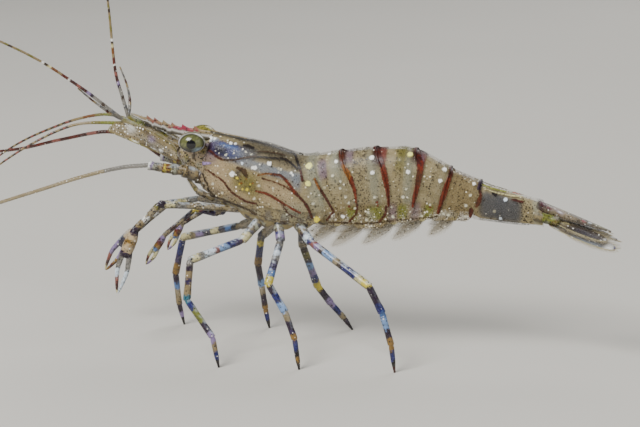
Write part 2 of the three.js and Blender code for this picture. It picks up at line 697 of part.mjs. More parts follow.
function addHead() {
  const sides = Object.values(SIDES);
  const stalks = sides.map((side) => socket(...stalkEnds(side), EYE.stalk));
  const globes = sides.map((side) => globe(side, GAP));
  add("beak", bladeBeyond(BEAK.cut - GAP / 2, -1), FINISHES.shell);
  add("brow", carved(brow(), ...stalks, ...globes, ...feelerSockets()), FINISHES.shell);
  for (const [name, side] of Object.entries(SIDES)) {
    add(`eye_${name}`, eye(side), FINISHES.eye);
    add(`antennule_stem_${name}`, shaft("antennule", side), FINISHES.shell);
    add(`antenna_stem_${name}`, shaft("antenna", side), FINISHES.shell);
    add(`antennal_scale_${name}`, antennalScale(side), FINISHES.fin);
    add(`mouth_leg_${name}`, shaft("mouth", side), FINISHES.leg);
  }
}

// Sockets in the brow for the stems of both pairs of feelers.
function feelerSockets() {
  return Object.values(SIDES).flatMap((side) =>
    ["antennule", "antenna"].map((name) => {
      const [root, next] = shaftJoints(name, side);
      return socket(root, next, SHAFTS[name].radii[0]);
    }),
  );
}

function addFeelers() {
  for (const [name, side] of Object.entries(SIDES)) {
    const path = ANTENNAE[name].map((p) => placed(p, side));
    const halfCutShare = 0.003;
    const near = feeler(path, FEELER_RADIUS.thick, { to: ANTENNA_CUT - halfCutShare });
    const far = feeler(path, FEELER_RADIUS.thick, { from: ANTENNA_CUT + halfCutShare });
    const inner = feeler(INNER_FEELERS[name].map((p) => placed(p, side)), FEELER_RADIUS.thin);
    add(`antenna_root_${name}`, near, FINISHES.feeler);
    add(`antenna_tip_${name}`, far, FINISHES.feeler);
    add(`antennule_outer_${name}`, outerFeelers(name, side), FINISHES.feeler);
    add(`antennule_inner_${name}`, inner, FINISHES.feeler);
  }
}

function addTrunk() {
  const hips = [];
  for (const [name, side] of Object.entries(SIDES)) {
    const starts = [
      [SLENDER_CLAWS[name], SLENDER_CLAW_RADII[0]],
      [BIG_ARMS[name], BIG_ARM_RADII[0]],
      ...Object.values(WALKING_LEGS[name]).map((leg) => [leg.thigh, WALKING_LEG_RADII.thigh[0]]),
      [SHAFTS.mouth.joints, SHAFTS.mouth.radii[0]],
    ];
    starts.forEach(([joints, radius]) =>
      hips.push(socket(placed(joints[0], side), placed(joints[1], side), radius)),
    );
  }
  add("carapace", carapace(), FINISHES.shell);
  add("breast", carved(breast(), ...hips), FINISHES.shell);
  for (let number = 1; number <= 5; number += 1) add(`segment_${number}`, segment(number), FINISHES.shell);
  add("segment_6", lastSegment(), FINISHES.shell);
}

function addLegs() {
  for (const [name, side] of Object.entries(SIDES)) {
    add(`leg_1_${name}`, slenderLeg(name, side), FINISHES.leg);
    add(`leg_2_arm_${name}`, bigArm(name, side), FINISHES.leg);
    add(`leg_2_claw_${name}`, bigClaw(name, side), FINISHES.leg);
    for (const [number, { thigh, shin }] of Object.entries(WALKING_LEGS[name])) {
      const upper = thigh.map((p) => placed(p, side));
      const lower = shin.map((p) => placed(p, side));
      upper[2] = moved(upper[2], upper[1], GAP + 0.3);
      lower[0] = moved(lower[0], lower[1], GAP);
      const shinLimb = limb(lower, WALKING_LEG_RADII.shin, { onFloor: true });
      add(`leg_${number}_thigh_${name}`, limb(upper, WALKING_LEG_RADII.thigh), FINISHES.leg);
      add(`leg_${number}_shin_${name}`, shinLimb, FINISHES.leg);
    }
  }
}

function addTail() {
  add("telson", telson(), FINISHES.fin);
  for (const [name, side] of Object.entries(SIDES)) {
    add(`tail_fan_${name}`, tailFan(side), FINISHES.fin);
    for (let number = 1; number <= 5; number += 1) {
      add(`swimmeret_${number}_${name}`, swimmeret(number, side), FINISHES.fin);
    }
  }
}

addHead();
addFeelers();
addTrunk();
addLegs();
addTail();

// The origin goes to the middle of the footprint, on the floor.
const box = new THREE.Box3().setFromObject(shrimp);
const centre = box.getCenter(new THREE.Vector3());
shrimp.position.set(-centre.x, -centre.y, -box.min.z);

export default shrimp;
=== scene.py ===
"""The looks of a common prawn, Palaemon serratus: a still, life-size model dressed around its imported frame.

Lengths are millimetres in the frame that the prawn is drawn in: x = 0 just behind the carapace, the head
towards -X, the left side on -Y and the floor at z = 0. Places off the middle plane are (x, distance out, z)
and serve either side. Each mesh is carried to the row frame, in metres, when it is made.

Tables are text: commas part rows of numbers, semicolons part entries, bars part the legs or the two sides,
left ones first, and a hue stands before its numbers.
"""

import json
import logging
import math
from collections.abc import Callable
from dataclasses import dataclass, field
from enum import Enum
from functools import partial

import bpy
import numpy as np
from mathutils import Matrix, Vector

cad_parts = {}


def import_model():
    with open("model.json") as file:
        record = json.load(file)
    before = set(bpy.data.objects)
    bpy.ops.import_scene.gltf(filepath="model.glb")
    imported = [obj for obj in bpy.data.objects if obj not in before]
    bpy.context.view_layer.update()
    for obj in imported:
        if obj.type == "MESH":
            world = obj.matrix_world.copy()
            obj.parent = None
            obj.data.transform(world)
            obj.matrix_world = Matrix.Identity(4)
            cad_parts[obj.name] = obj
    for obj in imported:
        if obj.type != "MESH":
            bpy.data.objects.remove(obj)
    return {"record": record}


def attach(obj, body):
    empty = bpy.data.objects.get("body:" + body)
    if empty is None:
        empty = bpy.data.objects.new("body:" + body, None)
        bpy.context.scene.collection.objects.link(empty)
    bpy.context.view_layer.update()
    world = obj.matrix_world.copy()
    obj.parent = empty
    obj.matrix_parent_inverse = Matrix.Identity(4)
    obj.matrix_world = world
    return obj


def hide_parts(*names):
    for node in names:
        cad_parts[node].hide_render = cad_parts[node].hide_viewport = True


log = logging.getLogger("prawn")
Array = np.ndarray
Place = tuple[float, float, float]


# ---- tables, sides and hues
def table(text: str) -> Array:
    """Rows of numbers written as text."""
    return np.array([[float(word) for word in row.split()] for row in text.split(",")])


def linear(colour: str) -> Array:
    """An sRGB hex colour as linear red, green and blue."""
    value = np.array([int(colour[i : i + 2], 16) for i in (1, 3, 5)]) / 255
    return np.where(value <= 0.04045, value / 12.92, ((value + 0.055) / 1.055) ** 2.4)


def rgba(colour: str) -> tuple[float, float, float, float]:
    """An sRGB hex colour as a linear socket value."""
    return (*linear(colour), 1.0)


class Side(Enum):
    """The sides of the body, as the sign of y."""

    LEFT = -1
    RIGHT = 1

    def __str__(self) -> str:
        """The side's word in the names of nodes and pieces."""
        return self.name.lower()

    def of(self, text: str) -> list[str]:
        """This side's entries of a text of left ones and then right ones, parted by bars."""
        entries = text.split("|")
        return entries[len(entries) // 2 :] if self is Side.RIGHT else entries[: len(entries) // 2]

    def at(self, places: str | Place) -> Array:
        """Places (x, distance out, z), or a table of them, on this side."""
        rows = table(places) if isinstance(places, str) else np.array(places, float)
        return rows * (1, self.value, 1)


class Hue(Enum):
    """Pigments and tissues of the prawn, as sRGB hex values."""

    INK = "#160C0A"
    PLUM = "#27122C"
    VIOLET = "#33224E"
    COBALT = "#161D66"
    STEEL = "#5478AE"
    SKY = "#7D9FCC"
    ICE = "#DCE8F2"
    LILAC = "#8F7BA6"
    SLATE = "#3F3B48"
    SMOKE = "#757066"
    PEARL = "#FBFAF2"
    CREAM = "#D8CE96"
    LEMON = "#DCC93E"
    AMBER = "#74430A"
    ORANGE = "#8E420C"
    RUST = "#5E1A02"
    MAROON = "#401004"
    UMBER = "#3B2917"
    OLIVE = "#77702C"
    LEAF = "#7A7E2C"
    TEAL = "#256A7C"
    SAND = "#96855E"
    ROSE = "#8C5044"
    BERRY = "#9C2A42"
    HAZE = "#A9A992"
    MAUVE = "#8A7480"
    DUSK = "#575656"
    GREY = "#5C5546"
    MIST = "#87929E"
    WINE = "#6A1836"
    BRICK = "#4C220E"
    FAWN = "#C3AD87"
    CHALK = "#CBC7AF"
    PRIMROSE = "#F7F286"
    BARK = "#463823"
    HONEY = "#8C6A28"
    TAWNY = "#8E7B54"

    @property
    def tone(self) -> Array:
        """Its linear red, green and blue."""
        return linear(self.value)


Bands = list[tuple[float, Hue]]  # shares of a length, each with the hue that starts there


def bands(text: str) -> Bands:
    """Reads hues, each before the percentage of the length at which it starts."""
    words = text.split()
    return [(float(start) / 100, Hue[name]) for name, start in zip(words[::2], words[1::2])]


def ladder(start: float, end: float, steps: int, names: str) -> Bands:
    """Hues taken in turn, in equal steps between two shares of a length."""
    step, hues = (end - start) / steps, names.split()
    return [(start + i * step, Hue[hues[i % len(hues)]]) for i in range(steps)]


def pigment(text: str) -> list[tuple[Hue, Array]]:
    """Reads entries of a hue and its rows of numbers."""
    entries = (entry.split(maxsplit=1) for entry in text.split(";"))
    return [(Hue[name], table(rows)) for name, rows in entries]


# ---- lines and noise
def travelled(line: Array) -> Array:
    """The distance along a line at each of its points."""
    return np.concatenate([[0], np.cumsum(np.linalg.norm(np.diff(line, axis=0), axis=1))])


def divided(line: Array, count: int) -> Array:
    """A number of points at equal steps along a line.

    Args:
        line: its points.
        count: how many to return.

    Returns:
        The points, ends included.
    """
    distance = travelled(line)
    steps = np.linspace(0, distance[-1], count)
    return np.stack([np.interp(steps, distance, column) for column in line.T], axis=1)


def evenly(line: Array, spacing: float) -> Array:
    """A line's points at equal steps of about the given length."""
    return divided(line, max(int(travelled(line)[-1] / spacing), 2) + 1)


def through(line: Array, places: Array) -> Array:
    """Reads a smooth line through points.

    Args:
        line: the points, one a row.
        places: where to read it, counted in points.

    Returns:
        One row for each place.
    """
    ends = np.vstack([2 * line[0] - line[1], line, 2 * line[-1] - line[-2]])
    first = np.clip(np.floor(places).astype(int), 0, len(line) - 2)
    f = (places - first)[..., None]
    a, b, c, d = (ends[first + i] for i in range(4))
    return (2 * b + (c - a) * f + (2 * a - 5 * b + 4 * c - d) * f**2 + (3 * b - 3 * c + d - a) * f**3) / 2


def jointed(joints: Array, spacing: float, bend: float) -> Array:
    """A line through joints, with each corner rounded.

    Args:
        joints: the joints, one a row.
        spacing: the distance between its points.
        bend: how far from a corner the rounding starts.

    Returns:
        The line's points.
    """
    line = evenly(joints, spacing)
    reach = max(int(bend / spacing), 1)
    before = line[0] - (line[1] - line[0]) * np.arange(reach, 0, -1)[:, None]
    after = line[-1] + (line[-1] - line[-2]) * np.arange(1, reach + 1)[:, None]
    kernel = np.hanning(2 * reach + 3)[1:-1]
    padded = np.concatenate([before, line, after]).T
    return np.stack([np.convolve(column, kernel / kernel.sum(), mode="valid") for column in padded], axis=1)


def smooth(value: Array, low: float, high: float) -> Array:
    """A soft step from 0 at low to 1 at high."""
    share = np.clip((value - low) / (high - low), 0, 1)
    return share * share * (3 - 2 * share)


def peak(value: Array, at: float, width: float) -> Array:
    """A soft peak of height 1."""
    return np.exp(-(((value - at) / width) ** 2))


def mixed(under: Array, over: Array, share: Array | float) -> Array:
    """One value as it goes over to another."""
    return under + (over - under) * share


def knots(share: Array, places: str, values: str | tuple[float, ...]) -> Array:
    """Values between knots, by share of a length."""
    return np.interp(share, table(places)[0], table(values)[0] if isinstance(values, str) else values)


def ripple(points: Array, grain: float, seed: int) -> Array:
    """Smooth seeded noise in space.

    Args:
        points: where to read it, one a row.
        grain: the size of its features.
        seed: picks the pattern.

    Returns:
        Values around 0, mostly between -1 and 1.
    """
    draw = np.random.default_rng(seed)
    total = np.zeros(points.shape[:-1])
    for _ in range(7):
        way = unit(draw.normal(size=3))
        pace = draw.uniform(0.7, 1.9) * math.pi / grain
        total += np.sin(points @ way * pace + draw.uniform(0, 2 * math.pi))
    return total / 3.5


def unit(vectors: Array) -> Array:
    """Vectors at length 1."""
    return vectors / (np.linalg.norm(vectors, axis=-1, keepdims=True) + 1e-12)


def turns(sides: int) -> Array:
    """Angles round a circle, as one row."""
    return np.linspace(0, 2 * math.pi, sides, endpoint=False)[None]


def rings_along(line: Array, radii: Array, sides: int, flatness: float = 1) -> Array:
    """Rings around a line, turned as little as possible from one to the next.

    Args:
        line: points down the middle.
        radii: the radius at each point.
        sides: points round a ring.
        flatness: a ring's thickness across the body as a share of its width.

    Returns:
        An array of rings, points and coordinates.
    """
    ways = unit(np.gradient(line, axis=0))
    last = np.array([0.0, 0, 1] if abs(ways[0, 1]) > 0.9 else [0.0, 1, 0])
    thin = np.empty_like(line)
    for i, way in enumerate(ways):
        last = unit(last - way * (last @ way))
        thin[i] = last
    wide, angle = np.cross(ways, thin), turns(sides)[..., None]
    offset = np.cos(angle) * flatness * thin[:, None] + np.sin(angle) * wide[:, None]
    return line[:, None] + offset * radii[:, None, None]


def between(station: Array, share: Array, out: Array) -> Array:
    """Points on a section of the body, by the share of the way from its top to its bottom."""
    x = mixed(station[..., 0], station[..., 2], share)
    return np.stack([x, out, mixed(station[..., 1], station[..., 3], share)], axis=-1)


# ---- pigment
GLASSY = {Hue.SAND: 0.82, Hue.SMOKE: 0.75}  # hues of stretches that let light through, and their cover


def banded(stops: Bands, share: Array, points: Array, soft: float, ragged: float) -> Array:
    """Colours along a limb that change at ragged rings.

    Args:
        stops: the rings.
        share: each point's share of the length.
        points: the points, for the raggedness.
        soft: the share of the length over which two hues mix.
        ragged: how far a ring wanders, as a share of the length.

    Returns:
        Red, green, blue and cover for each point.
    """
    wander = share + (ripple(points, 0.5, 5) + 0.7 * ripple(points, 0.22, 6)) * ragged
    tones = [np.array((*hue.tone, GLASSY.get(hue, 1.0))) for _, hue in stops]
    result = np.broadcast_to(tones[0], (*wander.shape, 4))
    for (start, _), tone in zip(stops[1:], tones[1:]):
        result = mixed(result, tone, smooth(wander, start - soft / 2, start + soft / 2)[..., None])
    return result


def streaked(stain: Array, rings: Array, paleness: float) -> Array:
    """Pigment with a painted highlight in broken pale streaks above and painted shade below, plus random
    darker patches.

    Args:
        stain: its colours and cover.
        rings: the points.
        paleness: how strong the painted highlight streaks above are.

    Returns:
        The colours with painted highlight and painted shade, and the cover.
    """
    upward = unit(rings - rings.mean(axis=1, keepdims=True))[..., 2:]
    broken = np.clip(0.45 + 1.2 * ripple(rings, 0.6, 21), 0, 1)[..., None]
    # Painted shade: darker where the ring faces down, plus random darker patches.
    shade_and_mottle = 1 - 0.6 * smooth(-upward, -0.1, 0.7) - 0.35 * np.clip(ripple(rings, 0.4, 22), 0, 1)[..., None]
    colour = stain[..., :3] * np.clip(shade_and_mottle, 0.2, 1)
    # Painted highlight: pale ice streaks where the ring faces up.
    colour = mixed(colour, Hue.ICE.tone, paleness * smooth(upward, 0.35, 0.85) * broken)
    return np.concatenate([colour, stain[..., 3:]], axis=-1)


def blotched(points: Array, layers: str) -> Array:
    """Irregular blotches of pigment.

    Args:
        points: the points to paint.
        layers: a table with each hue's grain, seed, the level of noise from which it shows, and its cover.

    Returns:
        Red, green, blue and cover.
    """
    colour, cover = np.zeros(points.shape), np.zeros((*points.shape[:-1], 1))
    for hue, ((grain, seed, level, strength),) in pigment(layers):
        weight = strength * smooth(ripple(points, grain, int(seed)), level, level + 0.25)[..., None]
        colour, cover = mixed(colour, hue.tone, weight), mixed(cover, 1, weight)
    return np.concatenate([colour / np.maximum(cover, 1e-6), cover], axis=-1)


def clouded(patches: str, along: Array, across: Array, points: Array, base: Hue, cover: float) -> Array:
    """Soft patches of colour over a base, in a leaf's own shares.

    Args:
        patches: a table with each hue's place along and across, its reach along and across, and its cover.
        along: each point's share of the length.
        across: each point's share of the width.
        points: the points, for unevenness.
        base: the hue between the patches.
        cover: how much the base covers.

    Returns:
        Red, green, blue and cover.
    """
    colour, level = np.broadcast_to(base.tone, (*along.shape, 3)), np.full(along.shape, cover)
    wander = 0.25 * ripple(points, 0.8, 31)
    for hue, ((x, y, length, width, strength),) in pigment(patches):
        far = ((along - x) / length) ** 2 + ((across - y) / width) ** 2
        weight = np.exp(-((far * (1 + wander)) ** 1.6)) * strength
        colour = mixed(colour, hue.tone, weight[..., None])
        level = mixed(level, np.maximum(level, weight), weight)
    return np.concatenate([colour, level[..., None]], axis=-1)


EDGE_REACH = 0.5  # mm from a mark's outline over which its distance is kept
FAR = 9.0  # mm, further than any mark reaches


def nearest_mark(points: Array, strokes: list[tuple[Array, Array, Array]]) -> Array:
    """The hue of the nearest mark, and how far inside it each point lies.

    Args:
        points: one a row; both sides carry the same marks.
        strokes: for each mark its points, the half width at each and its colour.

    Returns:
        Red, green, blue and a level that passes 0.5 on the mark's outline.
    """
    mirrored = points.reshape(-1, 3).copy()
    mirrored[:, 1] = -np.abs(mirrored[:, 1])
    best, colour = np.full(len(mirrored), FAR), np.zeros((len(mirrored), 3))
    for line, halves, tone in strokes:
        around = (mirrored > line.min(0) - 1.5) & (mirrored < line.max(0) + 1.5)
        near = np.flatnonzero(around.all(axis=1))
        here, gap = mirrored[near], np.full(len(near), FAR)
        for a, b, start, end in zip(line[:-1], line[1:], halves[:-1], halves[1:]):
            share = np.clip((here - a) @ (b - a) / ((b - a) @ (b - a) + 1e-9), 0, 1)
            distance = np.linalg.norm(here - a - share[:, None] * (b - a), axis=1)
            gap = np.minimum(gap, distance - mixed(start, end, share))
        closer = gap < best[near]
        best[near[closer]], colour[near[closer]] = gap[closer], tone
    return np.concatenate([colour, np.clip(0.5 - best / (2 * EDGE_REACH), 0, 1)[:, None]], axis=1)


# ---- finishes
Socket = bpy.types.NodeSocket
Adder = Callable[..., bpy.types.NodeOutputs]  # adds a node to the material at hand


def node(
    tree: bpy.types.NodeTree, kind: str, inputs: dict | tuple = (), **settings: object
) -> bpy.types.NodeOutputs:
    """Adds one node with its settings and links.

    Args:
        tree: where it goes.
        kind: the node's type, without what all types start with.
        inputs: a value or an output for each named input, or for the first ones in turn.
        settings: the node's own properties.

    Returns:
        The node's outputs.
    """
    made = tree.nodes.new(f"ShaderNode{kind}")
    for key, value in settings.items():
        setattr(made, key, value)
    for key, value in inputs.items() if isinstance(inputs, dict) else enumerate(inputs):
        if isinstance(value, Socket):
            tree.links.new(value, made.inputs[key])
        else:
            made.inputs[key].default_value = value
    return made.outputs


@dataclass(frozen=True)
class Dots:
    """Small round pigment cells: hue, gap, radius, and the share that is there or the layer that tells."""

    hue: str
    gap_mm: float
    radius_mm: float
    share: float | str

    def mask(self, add: Adder, place: Socket) -> Socket:
        """1 inside a cell.

        Args:
            add: adds a node.
            place: the place on the object, in metres.

        Returns:
            The mask.
        """
        wanted, reach = self.share, self.radius_mm / self.gap_mm
        if isinstance(wanted, str):
            wanted = add("Attribute", attribute_name=wanted)["Fac"]
        swirl = add("TexNoise", {"Vector": place, "Scale": 500 / self.radius_mm})[1]
        bend = (swirl, (self.radius_mm / 900,) * 3, place)
        bent = add("VectorMath", bend, operation="MULTIPLY_ADD")[0]
        cells = add("TexVoronoi", {"Vector": bent, "Scale": 1000 / self.gap_mm})
        luck = add("SeparateColor", {"Color": cells["Color"]})
        size = add("Math", (luck[1], 1.1, 0.5), operation="MULTIPLY_ADD")[0]
        away = add("Math", (cells["Distance"], size), operation="DIVIDE")[0]
        disc = add("MapRange", (away, reach * 1.2, reach * 0.8))[0]
        kept = add("Math", (luck[0], wanted), operation="LESS_THAN")[0]
        return add("Math", (disc, kept), operation="MULTIPLY")[0]


@dataclass(frozen=True)
class Cuticle:
    """Chitin as the animal cast it: thin, glassy and stained from inside by pigment cells.

    The eye sees depth under a wet gloss, crisp pigment in lines, rings and round spots, and fine dots.
    """

    name: str
    dark: str  # the two hues that it drifts between
    light: str
    clear: float = 1.0  # cover where nothing is painted
    mottle_mm: float = 0.5
    roughness: float = 0.32
    coat: float = 0.25
    shine: float = 0.5  # specular level
    body_light: float = 0.0  # share of light that passes inside
    body_mm: float = 0.6
    grain_mm: float = 0.12  # of the relief, which is finer in life and drawn as coarse as it needs to show
    relief_mm: float = 0.01
    granule_mm: float = 0.22  # clumps of granules that break up the stain, drawn as coarse as needed too
    granular: float = 0.0
    ragged_mm: float = 0.26  # unevenness of a mark's outline
    fibre: float = 0.0  # strength of the streaks along the body
    dots: tuple[Dots, ...] = ()
    marked: bool = False  # carries lines and round spots
    stained: bool = True  # carries painted colour

    def material(self) -> bpy.types.Material:
        """Makes the node material when it is first asked for.

        Returns:
            The material.
        """
        made = bpy.data.materials.get(self.name)
        if made:
            return made
        made = bpy.data.materials.new(self.name)
        made.use_nodes = True
        made.node_tree.nodes.clear()
        add = partial(node, made.node_tree)
        place = add("TexCoord")["Object"]
        coat = self._mottled(add, place), self.clear
        if self.stained:
            coat = self._stained(add, place, coat[0])
        for dots in self.dots:
            coat = self._laid(add, coat, rgba(dots.hue), dots.mask(add, place))
        if self.marked:
            noise = add("TexNoise", {"Vector": place, "Scale": 1000 / self.ragged_mm, "Detail": 3.0})[0]
            for layer, depth in (("lines", 1.3), ("spots", 0.4)):
                mark = add("Attribute", attribute_name=layer)
                mask = self._inside(add, mark["Alpha"], noise)
                coat = self._laid(add, coat, self._uneven(add, mark["Color"], noise, depth), mask)
        self._shade(add, coat, place)
        return made

    def _mottled(self, add: Adder, place: Socket) -> Socket:
        """The base colour, uneven, with streaks along the body where it has fibres.

        Args:
            add: adds a node.
            place: the place on the object.

        Returns:
            The colour.
        """
        cloud = {"Vector": place, "Scale": 1000 / self.mottle_mm, "Detail": 5.0, "Roughness": 0.62}
        level = add("TexNoise", cloud)[0]
        if self.fibre:
            along = add("Attribute", attribute_name="weave")["Vector"]
            drawn = add("Mapping", {"Vector": along, "Scale": (0.9, 5.0, 1.0)})[0]
            streak = add("TexNoise", {"Vector": drawn, "Scale": 1.0, "Detail": 4.0})[0]
            level = add("Mix", {"Factor": self.fibre, "A": level, "B": streak}, data_type="FLOAT")[0]
        tone = add("ValToRGB", {"Fac": level})["Color"]
        for stop, at, hue in zip(tone.node.color_ramp.elements, (0.34, 0.66), (self.dark, self.light)):
            stop.position, stop.color = at, rgba(hue)
        return tone

    def _stained(self, add: Adder, place: Socket, base: Socket) -> tuple[Socket, Socket]:
        """Lays the painted stain over the base, broken up by granules.

        Args:
            add: adds a node.
            place: the place on the object.
            base: the colour without it.

        Returns:
            The colour and the cover.
        """
        stain = add("Attribute", attribute_name="stain")
        shade, strength = stain["Color"], stain["Alpha"]
        if self.granular:
            clump = add("TexNoise", {"Vector": place, "Scale": 1000 / self.granule_mm})[0]
            kept = add("MapRange", (clump, 0.4, 0.6, 1 - self.granular, 1.0))[0]
            strength = add("Math", (strength, kept), operation="MULTIPLY")[0]
            shade = self._uneven(add, shade, clump, 0.5)
        share = add("Math", (strength, self.clear), operation="DIVIDE", use_clamp=True)[0]
        return self._laid(add, (base, self.clear), shade, share, strength)

    @staticmethod
    def _uneven(add: Adder, colour: Socket, noise: Socket, depth: float) -> Socket:
        """A colour that noise makes lighter and darker, by the given depth."""
        level = add("MapRange", (noise, 0.35, 0.65, 1 + depth / 2, 1 - depth / 2))[0]
        return add("HueSaturation", {"Value": level, "Color": colour})[0]

    @staticmethod
    def _inside(add: Adder, level: Socket, noise: Socket) -> Socket:
        """Where a mark is, with an outline that noise makes ragged.

        Args:
            add: adds a node.
            level: 0.5 on the mark's outline, more inside.
            noise: the noise.

        Returns:
            The mask.
        """
        shift = add("Math", (noise, 0.6, -0.3), operation="MULTIPLY_ADD")[0]
        edge = add("Math", (level, shift), operation="ADD")[0]
        return add("MapRange", (edge, 0.45, 0.54, 0.0, 0.97), interpolation_type="SMOOTHSTEP")[0]

    @staticmethod
    def _laid(add: Adder, coat: tuple, colour: Socket, mask: Socket, cover: Socket | None = None) -> tuple:
        """Lays a colour over a coat (a colour and its cover); its own cover is the mask unless given."""
        tone = add("Mix", {0: mask, 6: coat[0], 7: colour}, data_type="RGBA")[2]
        return tone, add("Math", (mask if cover is None else cover, coat[1]), operation="MAXIMUM")[0]

    def _shade(self, add: Adder, coat: tuple, place: Socket) -> None:
        """The shader itself, with a fine relief and a gloss that varies a little.

        Args:
            add: adds a node.
            coat: the colour and the cover.
            place: the place on the object.
        """
        grain = add("TexNoise", {"Vector": place, "Scale": 1000 / self.grain_mm, "Detail": 2.0})[0]
        bump = {"Height": grain, "Strength": 0.5, "Distance": self.relief_mm / 1000}
        spread = {"Value": grain, "To Min": self.roughness * 0.8, "To Max": self.roughness * 1.2}
        settings = {
            "Base Color": coat[0],
            "Alpha": coat[1],
            "Roughness": add("MapRange", spread)[0],
            "Normal": add("Bump", bump)[0],
            "IOR": 1.48,
            "Specular IOR Level": self.shine,
            "Coat Weight": self.coat,
            "Coat Roughness": 0.08,
            "Coat IOR": 1.4,
            "Subsurface Weight": self.body_light,
            "Subsurface Radius": (1.0, 0.75, 0.55),
            "Subsurface Scale": self.body_mm / 1000,
        }
        add("OutputMaterial", {"Surface": add("BsdfPrincipled", settings)[0]})


# Pigment cells: many are finer in life, and are drawn as coarse as they need to be to show.
BROWN, PALE = Dots("#23150C", 0.28, 0.09, "freckle"), Dots("#EFE8D2", 0.42, 0.1, "chalk")
# Clear plate: the flesh shows through it, and only pigment, rim and gloss give it away.
PLATE = Cuticle(
    "chitin_plate_cast", "#9A8C66", "#B8AE90", clear=0.13, roughness=0.42, coat=0.12, shine=0.26,
    granular=0.8, dots=(BROWN, PALE), marked=True,
)
# Flesh under the plates: milky olive-beige muscle, drawn out in fine fibres along the body.
FLESH = Cuticle(
    "muscle_cured", "#6E5F3B", "#B4A57B", mottle_mm=0.9, roughness=0.5, coat=0.0, shine=0.3,
    body_light=0.25, fibre=0.5, relief_mm=0.03,
    dots=(Dots("#3A2C1C", 0.5, 0.14, 0.16), Dots("#CFC6A2", 0.8, 0.17, 0.2)),
)
# Limb cuticle: harder and more opaque, in rings of bright pigment with pale and dark flecks.
LIMB = Cuticle(
    "chitin_limb_cast", "#7C6C48", "#AB9C74", clear=0.55, roughness=0.3, granular=0.3, body_light=0.15,
    body_mm=0.3, dots=(Dots("#160F14", 0.27, 0.09, "freckle"), Dots("#EDE6DA", 0.4, 0.08, 0.16)),
)
# The beak: the same plate, thicker.
BEAK = Cuticle(
    "chitin_beak_cast", "#7F6A55", "#AB9A82", clear=0.6, roughness=0.4, coat=0.15, shine=0.35,
    dots=(BROWN, Dots("#EFE8D2", 0.5, 0.09, 0.12)),
)
# Fin membrane: a clear grey film on fine ribs.
FIN = Cuticle(
    "chitin_fin_cast", "#564F3F", "#8A8370", clear=0.6, roughness=0.36, coat=0.2, shine=0.35,
    granular=0.5, dots=(Dots("#1D1712", 0.32, 0.08, "freckle"), Dots("#F1EDE2", 0.42, 0.1, "chalk")),
)
# Paddle membrane: thinner still, so that the tail's underside shows through it.
PADDLE = Cuticle(
    "chitin_paddle_cast", "#6A5F48", "#9C9072", clear=0.3, roughness=0.45, coat=0.05, shine=0.2,
    granular=0.5, dots=(Dots("#2A1F14", 0.34, 0.08, "freckle"), Dots("#E9E4D4", 0.5, 0.1, "chalk")),
)
# Eye: a hard, wet cornea over pigment.
CORNEA = Cuticle(
    "cornea_cast", "#5A5C34", "#7C7E50", mottle_mm=0.3, roughness=0.16, coat=0.6, grain_mm=0.09,
    relief_mm=0.004,
)
# Bristles: straw-coloured, thin enough to let light by.
BRISTLE = Cuticle(
    "chitin_bristle_grown", "#9C8C66", "#C4B794", clear=0.7, roughness=0.4, coat=0.0, stained=False
)


# ---- meshes
COLOUR, VECTOR, LEVEL = ("FLOAT_COLOR", "color", 4), ("FLOAT_VECTOR", "vector", 3), ("FLOAT", "value", 1)
LAYERS = {"stain": COLOUR, "lines": COLOUR, "spots": COLOUR, "weave": VECTOR}
LAYERS |= {"freckle": LEVEL, "chalk": LEVEL}
Painted = Array | float  # a value for each point, or one for all of them


@dataclass
class Piece:
    """A mesh being made, patch by patch, with painted values on its points."""

    name: str
    points: list[Array] = field(default_factory=list)
    faces: list[Array] = field(default_factory=list)
    caps: list[list[int]] = field(default_factory=list)
    layers: dict[str, list[Array]] = field(default_factory=lambda: {key: [] for key in LAYERS})
    used: set[str] = field(default_factory=set)
    spots: list[Array] = field(default_factory=list)  # on the map, where it has one

    def _store(self, surfaces: list[Array], layers: dict[str, Painted]) -> Array:
        """Adds the points of equal surfaces, with the values painted on each.

        Args:
            surfaces: rows, columns and coordinates.
            layers: the values.

        Returns:
            The numbers of the first surface's points.
        """
        first, grid = sum(map(len, self.points)), surfaces[0].shape[:2]
        for surface in surfaces:
            self.points.append(surface.reshape(-1, 3))
            for key, (_, _, width) in LAYERS.items():
                value = np.broadcast_to(layers.get(key, 0.0), (*grid, width))
                self.layers[key].append(value.reshape(-1, width))
        self.used.update(layers)
        return first + np.arange(grid[0] * grid[1]).reshape(grid)

    def tube(self, rings: Array, **layers: Painted) -> None:
        """Adds a closed tube.

        Args:
            rings: rings, points and coordinates.
            layers: values painted on the points.
        """
        index = self._store([rings], layers)
        turned = np.roll(index, -1, axis=1)
        quads = np.stack([index[:-1], index[1:], turned[1:], turned[:-1]], axis=-1)
        self.faces.append(quads.reshape(-1, 4))
        self.caps += [index[0].tolist(), index[-1][::-1].tolist()]

    def limb(
        self, rings: Array, share: Array, stops: Bands, soft: float, ragged: float,
        paleness: float | None = None, **layers: Painted,
    ) -> None:
        """Adds a tube banded by its rings' share of the length, with painted highlight streaks above and
        painted shade below where their strength is given.
        """
        stain = banded(stops, share[:, None], rings, soft, ragged)
        self.tube(rings, stain=stain if paleness is None else streaked(stain, rings, paleness), **layers)

    def shell(self, outer: Array, inner: Array, **layers: Painted) -> None:
        """Adds a thin closed plate from its outer and inner surface.

        Args:
            outer: rows, columns and coordinates.
            inner: the same for the other surface.
            layers: values painted on both.
        """
        out = self._store([outer, inner], layers)
        back = out + out.size
        top = np.stack([out[:-1, :-1], out[:-1, 1:], out[1:, 1:], out[1:, :-1]], axis=-1)
        low = np.stack([back[:-1, :-1], back[1:, :-1], back[1:, 1:], back[:-1, 1:]], axis=-1)
        rim = np.concatenate([out[0, :-1], out[:-1, -1], out[-1, :0:-1], out[:0:-1, 0]])
        after = np.roll(rim, -1)
        edge = np.stack([rim, rim + out.size, after + out.size, after], axis=-1)
        self.faces += [top.reshape(-1, 4), low.reshape(-1, 4), edge]


